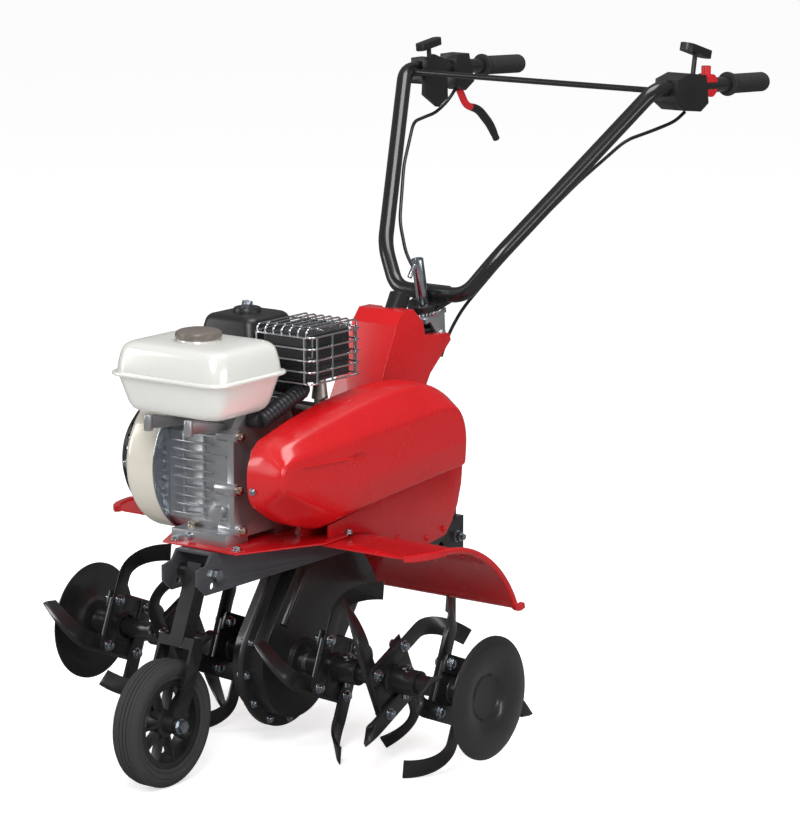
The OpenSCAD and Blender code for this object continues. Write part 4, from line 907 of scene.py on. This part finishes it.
@dataclass
class Engine(SubAssembly):
    """Crankcase, cylinder, fan cover, starter, tank and what stands on them."""

    crank: tuple[float, float] = (85.0, 457.3)
    base: float = 351.3
    step_y: float = 20.0
    step_up: float = 171.0
    rib_count: int = 9
    rib_pitch: float = 14.0
    fan_bolt_r: float = 98.0
    arm: Pairs = (
        (96, 31), (150, 31), (236, 22), (243, 14), (243, 2), (226, 1), (150, 20), (96, 20))
    cover_bolts: Pairs = (
        (160, 168), (165, 86), (157, 22), (17, 160), (13, 86), (23, 20))

    def cleaner(self) -> Object:
        """Air cleaner: pan, seam and a broad lid with soft edges."""
        low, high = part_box("air_cleaner")
        middle, half = (low + high) / 2, (high - low) / 2 / MM
        middle.z = 0
        seam, top = low.z / MM + 22, high.z / MM - 18
        levels = [(seam - 22, 12, 10), (seam - 20, 8, 12), (seam - 1, 5, 12), (seam, 1, 14),
                  (seam + 1, 0, 15), (seam + 3, 0, 15), (seam + 4, 1, 14), (seam + 4.6, 4, 14),
                  (seam + 26, 7, 15), (top - 10, 11, 16), (top - 5, 13.5, 16), (top - 2, 17, 15),
                  (top - 0.4, 23, 13), (top, 30, 12)]
        rings = [rounded_ring(middle + UP * z * MM, half.x - drawn, half.y - drawn, corner, 6)
                 for z, drawn, corner in levels]
        boss = [(0, -1), (22, -1), (22, 4), (20.6, 6.6), (17, 7.8), (9, 8.4), (0, 8.4)]
        return joined("air_cleaner_housing", [
            smooth(lofted("cleaner", rings), 40),
            turned("boss", boss, middle + UP * top * MM, UP, 40)])

    def wing_nut(self) -> Object:
        """Wing nut on its stud over the air cleaner."""
        low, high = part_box("air_cleaner")
        middle = (low + high) / 2
        foot = Vector((middle.x, middle.y, high.z - 10 * MM))
        parts = [rod("nut", foot, foot + UP * 6 * MM, 6, 20, 0.8),
                 rod("nut", foot, foot + UP * 9.6 * MM, 3, 16, 0.4)]
        for sign in (-1, 1):
            parts.append(block("nut", foot + Vector((-1.2, sign * 4, 1)) * MM,
                               foot + Vector((1.2, sign * 11, 9)) * MM, 1.1))
        return joined("cleaner_wing_nut", parts)

    def crankcase(self) -> Object:
        """Crankcase with its top stepped down below the tank's arms."""
        obj = node_copy("crankcase", "crankcase_skin")
        for vert in obj.data.vertices:
            if vert.co.z > (self.base + 150) * MM and vert.co.y < self.step_y * MM:
                vert.co.z = min(vert.co.z, (self.base + self.step_up) * MM)
        return eased(obj, 1.6, 2)

    def ribs(self) -> Object:
        """Level casting ribs across the front of the crankcase."""
        x = (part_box("crankcase")[1].x - AXLE.x) / MM - 16
        levels = [self.base + 38 + self.rib_pitch * k for k in range(self.rib_count)]
        return joined("crankcase_ribs", [
            block("rib", spot(x - 4, -78, z), spot(x + 3.4, -2, z + 2.6), 0.8, 2)
            for z in levels])

    def brackets(self) -> Object:
        """Two cast arms that carry the front of the tank."""
        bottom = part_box("fuel_tank")[0].z / MM
        made = []
        for y in (-70, 8):
            rings = [[spot(x, y + w, bottom - down) for x, down in self.arm] for w in (-3, 3)]
            made.append(eased(lofted("arm", rings), 1.0, 2))
            made.append(rod("arm", spot(236, y, bottom - 25), spot(236, y, bottom - 0.4), 7, 24, 1))
        return joined("tank_arms", made)

    def build(self) -> None:
        """Makes the engine's pieces."""
        self.add(self.crankcase(), CASTING, "crankcase")
        self.add(self.ribs(), CASTING)
        self.soften("engine_cylinder", CASTING, 0.5, 1)
        self.soften("carburettor", CASTING, 1.5)
        self.soften("rocker_cover", PLASTIC, 3.0)
        self.soften("fan_cover", FAN_CREAM, 2.5, 3, 40)
        self.soften("fan_shroud", ZINC, 0.8, 2)
        self.add(self.brackets(), CASTING, "tank_brackets")
        self.paint(PLASTIC, "recoil_starter")
        self.add(self.cleaner(), PLASTIC, "air_cleaner")
        self.add(self.wing_nut(), ZINC)
        self.dress()

    def dress(self) -> None:
        """Bolts of the side cover, the foot and the fan cover."""
        x, z = self.crank
        self.bolts("side_cover_bolts", [spot(a, 44, self.base + b) for a, b in self.cover_bolts],
                   LEFT, 13, 8, YELLOW_ZINC)
        foot = self.base + 17
        self.bolts("foot_bolts", [spot(158, y, foot) for y in (-52, 8)], UP, 13, 8, YELLOW_ZINC)
        self.bolts("foot_end_bolt", [spot(185, -34, foot - 8)], FRONT, 12, 6)
        turns = [math.radians(t) for t in (60, 0, -62, 120)]
        self.bolts("fan_cover_bolts",
                   [spot(x + self.fan_bolt_r * math.cos(a), -157, z + self.fan_bolt_r * math.sin(a))
                    for a in turns], -LEFT, 12, 6)


@dataclass
class FuelTank(SubAssembly):
    """Tank of two moulded halves with a lipped seam between them, and its cap."""

    seam_up: float = 61.0
    cap_tall: float = 15.0
    cap_grips: int = 12
    below: Pairs = (
        (-61, 52), (-60.5, 39), (-58.5, 30), (-54, 23.5), (-47, 19.5), (-37, 16.5), (-20, 12),
        (-6, 8.2), (-3.2, 7))
    lip: Pairs = (
        (-3, 1.4), (-2.4, 0.5), (-1, 0), (0.6, 0), (1.6, 0.5), (2, 1.4))
    above: Pairs = (
        (2.4, 6), (6, 6.2), (20, 8), (32, 10.6), (38, 12.6), (42, 15.4), (45, 19.4), (47, 25),
        (48, 34), (49, 52))

    def shell(self) -> Object:
        """Both halves with the lip between them and the neck on top."""
        low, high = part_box("fuel_tank")
        middle, half = (low + high) / 2, (high - low) / 2 / MM
        middle.z = low.z + self.seam_up * MM
        rings = [rounded_ring(middle + UP * up * MM, half.x - drawn, half.y - drawn,
                              max(12.0, 30 - drawn * 0.2), 8)
                 for up, drawn in (*self.below, *self.lip, *self.above)]
        cap_low, cap_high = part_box("fuel_cap")
        top = (cap_low + cap_high) / 2
        top.z = high.z
        collar = [(25, -9), (33.5, -9), (32.4, -5), (31, -1), (30, 0), (25, 0)]
        return joined("fuel_tank_shell", [smooth(lofted("tank", rings), 50),
                                          turned("tank_collar", collar, top, UP, 48)])

    def cap(self) -> Object:
        """Low screw cap with grips round its rim."""
        low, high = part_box("fuel_cap")
        middle = Vector(((low.x + high.x) / 2, (low.y + high.y) / 2, low.z - 2.5 * MM))
        r, tall = (high.x - low.x) / 2 / MM, self.cap_tall
        profile = [(0, 0), (r - 2, 0), (r - 0.6, 1.2), (r, 3), (r, tall - 7),
                   (r - 1.2, tall - 4.6), (r - 5, tall - 2.8), (r - 12, tall - 1.2),
                   (r - 22, tall - 0.3), (0, tall)]
        parts = [turned("fuel_cap", profile, middle, UP, 72)]
        for k in range(self.cap_grips):
            a = math.tau * (k + 0.5) / self.cap_grips
            foot = middle + Vector((math.cos(a), math.sin(a), 0)) * (r - 1.6) * MM
            parts.append(rod("grip", foot + UP * 2 * MM, foot + UP * (tall - 6) * MM, 2.6, 12, 0.8))
        return joined("fuel_cap_turned", parts)

    def build(self) -> None:
        """Makes the tank and its cap."""
        self.add(self.shell(), TANK_IVORY, "fuel_tank")
        self.add(self.cap(), CAP_BROWN, "fuel_cap")


@dataclass
class Exhaust(SubAssembly):
    """Muffler under its wire guard, the pipe below and the intake hose."""

    x: tuple[float, float] = (-61.0, 65.0)
    y: tuple[float, float] = (-5.0, 109.0)
    wire_r: float = 1.6
    rings: int = 5
    hoops: int = 7
    hose_route: Triples = (
        (128, 62, 541), (96, 64, 553), (58, 66, 567), (24, 62, 573), (10, 34, 573),
        (10, 0, 573), (10, -30, 577), (10, -33, 597))
    hose_ribs: int = 27

    def wire(self, points: Sequence[Vector], reach: float = 10) -> Object:
        """One bent wire of the guard."""
        return swept("guard_wire", curved(points, reach, 5), lambda s: self.wire_r, 10)

    def guard(self) -> Object:
        """Rings round the sides and bent wires over the top."""
        low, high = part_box("muffler_guard")
        bottom, top = low.z / MM + 1.5, high.z / MM - 1.6
        (x0, x1), (y0, y1) = self.x, self.y
        made = []
        for k in range(self.rings):
            z = bottom + (top - 12 - bottom) * k / (self.rings - 1)
            loop = ((0, y0), (x0, y0), (x0, y1), (x1, y1), (x1, y0), (0, y0))
            made.append(self.wire([spot(x, y, z) for x, y in loop], 14))
        for k in range(self.hoops):
            y = y0 + 10 + (y1 - y0 - 20) * k / (self.hoops - 1)
            made.append(self.wire([spot(x0, y, top - 13), spot(x0, y, top), spot(x1, y, top),
                                   spot(x1, y, top - 13)], 8))
        for x in (x0 + 14, x1 - 14, x1 - 52):
            made.append(self.wire([spot(x, y1, bottom), spot(x, y1, top - 12)]))
        for y in (y0 + 8, y1 - 14):
            made.append(self.wire([spot(x1, y, bottom), spot(x1, y, top - 12)]))
            made.append(self.wire([spot(x0, y, bottom), spot(x0, y, top - 12)]))
        for x in (x0 + 30, x1 - 30):
            made.append(self.wire([spot(x, y0, top - 3.2), spot(x, y1, top - 3.2)]))
        return joined("muffler_guard_wires", made)

    def hose(self) -> Object:
        """Corrugated hose from the side cover to under the air cleaner."""
        path = divided(curved([spot(*p) for p in self.hose_route], 16, 6), 1.6)
        return swept("intake_hose_ribbed", path, lambda s: 11.2 + 2.3 * abs(
            math.sin(math.pi * self.hose_ribs * s)) ** 1.5, 28, 70)

    def build(self) -> None:
        """Makes the exhaust side."""
        self.soften("muffler", BLACK_PAINT, 2.5)
        self.paint(EXHAUST, "exhaust_pipe")
        self.add(self.guard(), CHROME, "muffler_guard")
        union = rod("hose_union", spot(128, 40.3, 541), spot(128, 60, 541), 12, 32, 1)
        self.add(joined("intake_hose_set", [self.hose(), union]), HOSE, "intake_hose")


# ---- covers and steering ---------------------------------------------------


@dataclass
class BeltCover(SubAssembly):
    """Moulded belt cover on its folded skirt.

    Each level lists 13 matched corners as X from the tine axle, distance from the
    middle of the machine and height over the deck.
    """

    deck: float = 351.0
    rim: Triples = (
        (190, 86.2, 74), (197, 86.2, 119), (188, 86.2, 150), (166, 86.2, 169), (93, 86.2, 189),
        (5, 86.2, 205), (-90, 86.2, 214), (-195, 86.2, 210), (-262, 86.2, 178),
        (-283, 86.2, 139), (-284, 86.2, 61), (60, 86.2, 15), (130, 86.2, 36))
    ridge: Triples = (
        (190, 113, 74), (200, 113, 119), (190, 113, 153), (166, 113, 171), (93, 113, 187),
        (5, 113, 202), (-90, 113, 213), (-195, 113, 211), (-262, 113, 178), (-283, 113, 139),
        (-284, 113, 61), (60, 113, 15), (130, 113, 36))
    easing: tuple[float, ...] = (20, 26, 22, 26, 44, 44, 44, 44, 34, 26, 4, 14, 20)
    brow: Triples = (
        (194, 138, 91), (203, 138, 124), (190, 138, 151), (158, 136, 168), (93, 136, 179),
        (5, 136, 191), (-90, 136, 206), (-195, 136, 208), (-259, 136, 174), (-281, 136, 134),
        (-281, 138, 62), (52, 138, 29), (134, 138, 59))
    brink: Triples = (
        (197, 158, 104), (204, 158, 129), (190, 158, 147), (150, 158, 150), (93, 158, 152),
        (5, 158, 157), (-90, 158, 162), (-225, 158, 169), (-258, 158, 157), (-277, 157, 119),
        (-279, 151, 62), (45, 151, 40), (137, 155, 77))
    panel: Triples = (
        (178, 158.4, 113), (182, 158.6, 128), (170, 158.6, 138), (147, 159, 131), (93, 159, 136),
        (5, 159, 145), (-90, 159, 154), (-225, 159, 165), (-250, 158.8, 152), (-266, 158.6, 124),
        (-270, 158.4, 104), (4, 158.4, 81), (144, 158.4, 105))
    wall: float = 2.6
    plate_y: float = 90.0
    skirt_screws: Pairs = ((-135, 318), (-212, 303), (-258, 309))

    def corners(self, level: Sequence[Point]) -> list[Vector]:
        """One level with its corners eased."""
        spots = [spot(x, y, self.deck + z) for x, y, z in level]
        n = len(spots)
        out = []
        for k, reach in enumerate(self.easing):
            out += turn_round(spots[k - 1], spots[k], spots[(k + 1) % n], reach, 2.1, 6)
        return out

    def cover(self) -> Object:
        """The moulding: an open shell with soft creases across its face."""
        heart = [(x * 0.4 - 24, 159, 123 + (z - 123) * 0.4) for x, _, z in self.panel]
        levels = [self.corners(level) for level in
                  (self.rim, self.ridge, self.brow, self.brink, self.panel, heart)]
        lines = [curved(line, 7, 4) for line in zip(*levels)]
        n, count = len(lines), len(lines[0])
        points = [line[i] for i in range(count) for line in lines]
        faces = [(i * n + k, (i + 1) * n + k, (i + 1) * n + (k + 1) % n, i * n + (k + 1) % n)
                 for i in range(count - 1) for k in range(n)]
        faces.append(tuple((count - 1) * n + k for k in range(n)))
        shell = from_points("belt_cover_shell", points, faces)
        modify(shell, "SOLIDIFY", thickness=self.wall * MM, offset=-1)
        return smooth(face_outward(shell), 32)

    def skirt(self) -> Object:
        """The folded skirt, with its plate trimmed to the cover's upper edge."""
        obj = node_copy("belt_skirt", "belt_skirt_skin")
        top = sorted((spot(x, y, self.deck + z) for x, y, z in self.rim if z > 120),
                     key=lambda p: p.x)
        for vert in obj.data.vertices:
            if vert.co.y > self.plate_y * MM:
                continue
            for a, b in zip(top, top[1:]):
                if a.x <= vert.co.x <= b.x:
                    line = a.z + (b.z - a.z) * (vert.co.x - a.x) / (b.x - a.x)
                    vert.co.z = min(vert.co.z, line - 2 * MM)
        return eased(obj, 0.8, 2)

    def build(self) -> None:
        """Makes the cover, its skirt and their screws."""
        self.add(self.cover(), RED_SHELL, "belt_cover")
        self.add(self.skirt(), RED_PAINT, "belt_skirt")
        self.bolts("cover_screws", [spot(196.5, 98, 448)], Vector((1, 0.12, 0)), 9, 3)
        self.bolts("skirt_screws", [spot(x, 124, z) for x, z in self.skirt_screws], LEFT, 8, 3,
                   RED_PAINT)


@dataclass
class Steering(SubAssembly):
    """Column, its red tower and the swivelling head."""

    def build(self) -> None:
        """Makes the column, tower and head."""
        self.soften("column", BLACK_PAINT, 1.2)
        self.soften("tower_cover", RED_SHELL, 7.0, 5, 14)
        self.soften("head_block", HEAD_CASTING, 1.5)
        self.soften("swivel_disc", ZINC, 0.4, 1)
        self.soften("bar_saddle", BLACK_PAINT, 2.0)
        self.soften("clamp_nut", ZINC, 0.8, 2, 40)


@dataclass
class Handlebar(SubAssembly):
    """Bent tube with its grips, controls, lever and cables."""

    body: str = "handlebar"
    tube_r: float = 12.5
    half: float = 251.0
    grip_r: float = 16.5
    grip_l: float = 118.0
    grip_ribs: int = 13
    cable_r: float = 2.9
    cable_down: Triples = (
        (-640, 214, 900), (-560, 176, 838), (-480, 126, 756), (-452, 92, 706),
        (-448, 60, 668), (-440, 30, 630), (-428, 12, 590), (-414, 6, 552))

    def side_path(self) -> list[Vector]:
        """Corners of the left half of the tube."""
        return [spot(-393, 68, 661), spot(-420, 112, 724), spot(-668, self.half + 1, 984),
                spot(-1009, self.half, 966)]

    def tube(self) -> Object:
        """The whole bent tube."""
        left = self.side_path()
        right = [Vector((p.x, -p.y, p.z)) for p in reversed(left)]
        path = divided(curved(right + left, 26, 10), 12)
        return swept("handlebar_tube", path, lambda s: self.tube_r, 28)

    def grip(self, side: Side) -> Object:
        """Ribbed grip with its flange."""
        elbow, end = (Vector((p.x, p.y * side.value, p.z)) for p in self.side_path()[2:])
        axis = (elbow - end).normalized()
        length, r = self.grip_l, self.grip_r
        profile = [(self.tube_r, 0.2), (r - 3, 0.2), (r - 0.8, 1.4), (r, 4)]
        for k in range(self.grip_ribs):
            s = 12 + (length - 34) * k / (self.grip_ribs - 1)
            profile += [(r, s), (r - 1.1, s + 1.2), (r - 1.1, s + 3.4), (r, s + 4.6)]
        profile += [(r, length - 10), (r + 3.4, length - 7), (r + 4, length - 3),
                    (r + 2.6, length - 0.4), (self.tube_r, length - 0.4)]
        return turned("grip", profile, end, axis, 40, 50)

    def cable(self, name: str, top: Sequence[Point], side: Side) -> Object:
        """One control cable down to behind the tower."""
        route = [spot(x, y * side.value, z) for x, y, z in (*top, *self.cable_down)]
        return swept(name, divided(curved(route, 20, 6), 8), lambda s: self.cable_r, 12)

    def lever(self) -> None:
        """Clutch lever: red root and a black curved handle."""
        route = [spot(x, -self.half, z) for x, z in
                 ((-824.9, 937.6), (-846, 906), (-884, 896), (-920, 866), (-940, 838))]
        path = divided(curved(route, 14, 8), 3)
        cut = len(path) // 3
        root = swept("clutch_lever_root", path[:cut + 1], lambda s: 6.4, 20)
        handle = swept("clutch_lever_handle", path[cut:],
                       lambda s: 6.2 + 1.6 * math.sin(math.pi * min(1, s * 1.1)) ** 0.5, 20)
        self.add(root, RED_KNOB, "clutch_lever")
        self.add(handle, PLASTIC)

    def build(self) -> None:
        """Makes the bar and what it carries."""
        self.add(self.tube(), BLACK_PAINT, "handlebar")
        self.add(joined("grips_ribbed", [self.grip(side) for side in Side]), GRIP, "grips")
        self.paint(BLACK_PAINT, "crossbar")
        self.soften("left_controls", PLASTIC, 3.0)
        self.soften("right_controls", PLASTIC, 2.5)
        self.soften("stop_switch", RED_KNOB, 1.5)
        self.lever()
        left = self.cable("throttle_cable", [(-772, 244, 935.7), (-748, 240, 922),
                                             (-700, 228, 911)], Side.LEFT)
        right = self.cable("clutch_cable", [(-806, 244, 940.4), (-780, 243, 920), (-740, 240, 904),
                                            (-700, 232, 902)], Side.RIGHT)
        self.add(joined("control_cables_set", [left, right]), CABLE, "control_cables")


# ---- studio ----------------------------------------------------------------


@dataclass(frozen=True)
class Lamp:
    """One soft rectangular lamp, in metres and watts."""

    name: str
    place: Point
    aim_z: float
    size: tuple[float, float]
    power: float

    def build(self) -> None:
        """Places the lamp, aimed at the middle of the machine."""
        data = bpy.data.lights.new(self.name, "AREA")
        data.shape, data.energy = "RECTANGLE", self.power
        data.size, data.size_y = self.size
        obj = linked(self.name, data)
        obj.location = self.place
        aim = Vector((0, 0, self.aim_z)) - Vector(self.place)
        obj.rotation_euler = aim.to_track_quat("-Z", "Y").to_euler()


@dataclass
class Studio:
    """Camera, plain floor and soft lights."""

    azimuth: float = 126.27
    elevation: float = 11.39
    distance: float = 5.897
    lens: float = 159.4
    sensor: float = 36.0
    target: tuple[float, float, float] = (-0.0014, 0.0, 0.4761)
    floor_tone: float = 0.8
    floor_mirrored: float = 0.22
    floor_glow: float = 0.62
    sky_light: float = 0.44
    sky_mirrored: float = 0.17
    lamps: tuple[Lamp, ...] = (
        Lamp("key", (2.4, 1.2, 2.4), 0.45, (1.0, 1.6), 60),
        Lamp("fill", (2.2, -2.6, 1.5), 0.45, (0.7, 1.8), 26),
        Lamp("side", (0.2, 3.2, 0.9), 0.4, (2.2, 0.5), 16),
        Lamp("top", (-0.4, 0.4, 3.2), 0.4, (1.6, 1.6), 44))

    def camera(self) -> None:
        """Places the camera."""
        data = bpy.data.cameras.new("camera")
        data.lens, data.sensor_width, data.sensor_fit = self.lens, self.sensor, "AUTO"
        cam = linked("camera", data)
        a, e = math.radians(self.azimuth), math.radians(self.elevation)
        back = Vector((math.sin(a) * math.cos(e), -math.cos(a) * math.cos(e), math.sin(e)))
        cam.location = Vector(self.target) + back * self.distance
        cam.rotation_euler = (-back).to_track_quat("-Z", "Y").to_euler()
        data.clip_start, data.clip_end = 0.1, 200
        bpy.context.scene.camera = cam

    def seen(self, tree: NodeTree, path: bpy.types.Node) -> bpy.types.NodeSocket:
        """A value that is 1 where a surface is seen directly or looked through."""
        return fed(tree, "Math", {0: path.outputs["Is Camera Ray"],
                                  1: path.outputs["Is Transmission Ray"]},
                   operation="MAXIMUM").outputs[0]

    def floor(self) -> None:
        """Pale floor that shows white and keeps the shadow."""
        bpy.ops.mesh.primitive_plane_add(size=60, location=(0, 0, -0.0005))
        plane = bpy.context.object
        plane.name = "floor"
        settle(plane)
        made = bpy.data.materials.new("floor")
        made.use_nodes = True
        tree = made.node_tree
        shader = tree.nodes["Principled BSDF"]
        path = fed(tree, "LightPath", {})
        tone = fed(tree, "Mix", {"A": (*[self.floor_tone] * 3, 1),
                                 "B": (*[self.floor_mirrored] * 3, 1),
                                 "Factor": path.outputs["Is Glossy Ray"]}, data_type="RGBA")
        feed(tree, shader, {"Base Color": tone.outputs["Result"], "Roughness": 0.9,
                            "Specular IOR Level": 0.1})
        gain = fed(tree, "Math", {0: self.seen(tree, path), 1: self.floor_glow},
                   operation="MULTIPLY")
        glow = fed(tree, "Emission", {"Strength": gain.outputs[0]})
        both = fed(tree, "AddShader", {0: shader.outputs[0], 1: glow.outputs[0]})
        feed(tree, tree.nodes["Material Output"], {"Surface": both.outputs[0]})
        plane.data.materials.append(made)

    def sky(self) -> None:
        """Soft light from all round, seen as plain white."""
        world = bpy.data.worlds.new("world")
        bpy.context.scene.world = world
        world.use_nodes = True
        tree = world.node_tree
        path = fed(tree, "LightPath", {})
        dim = fed(tree, "MapRange", {"To Min": self.sky_light, "To Max": self.sky_mirrored,
                                     "Value": path.outputs["Is Glossy Ray"]})
        gain = fed(tree, "MapRange", {"To Min": dim.outputs["Result"], "To Max": 1.0,
                                      "Value": self.seen(tree, path)})
        feed(tree, tree.nodes["Background"], {"Color": (1, 1, 1, 1),
                                              "Strength": gain.outputs["Result"]})

    def build(self) -> None:
        """Sets the whole studio."""
        bpy.context.scene.view_settings.view_transform = "Standard"
        self.camera()
        self.floor()
        self.sky()
        for lamp in self.lamps:
            lamp.build()


def main() -> None:
    """Builds every sub-assembly in order and reports what each made."""
    logging.basicConfig(level=logging.INFO, format="%(message)s")
    Studio().build()
    for unit in (Deck(), ChainCase(), TineRotor(), TransportWheel(), Engine(), FuelTank(),
                 Exhaust(), BeltCover(), Steering(), Handlebar()):
        unit.build()
        log.info("%s done, %d pieces", type(unit).__name__, len(unit.pieces))


if __name__ == "__main__":
    main()
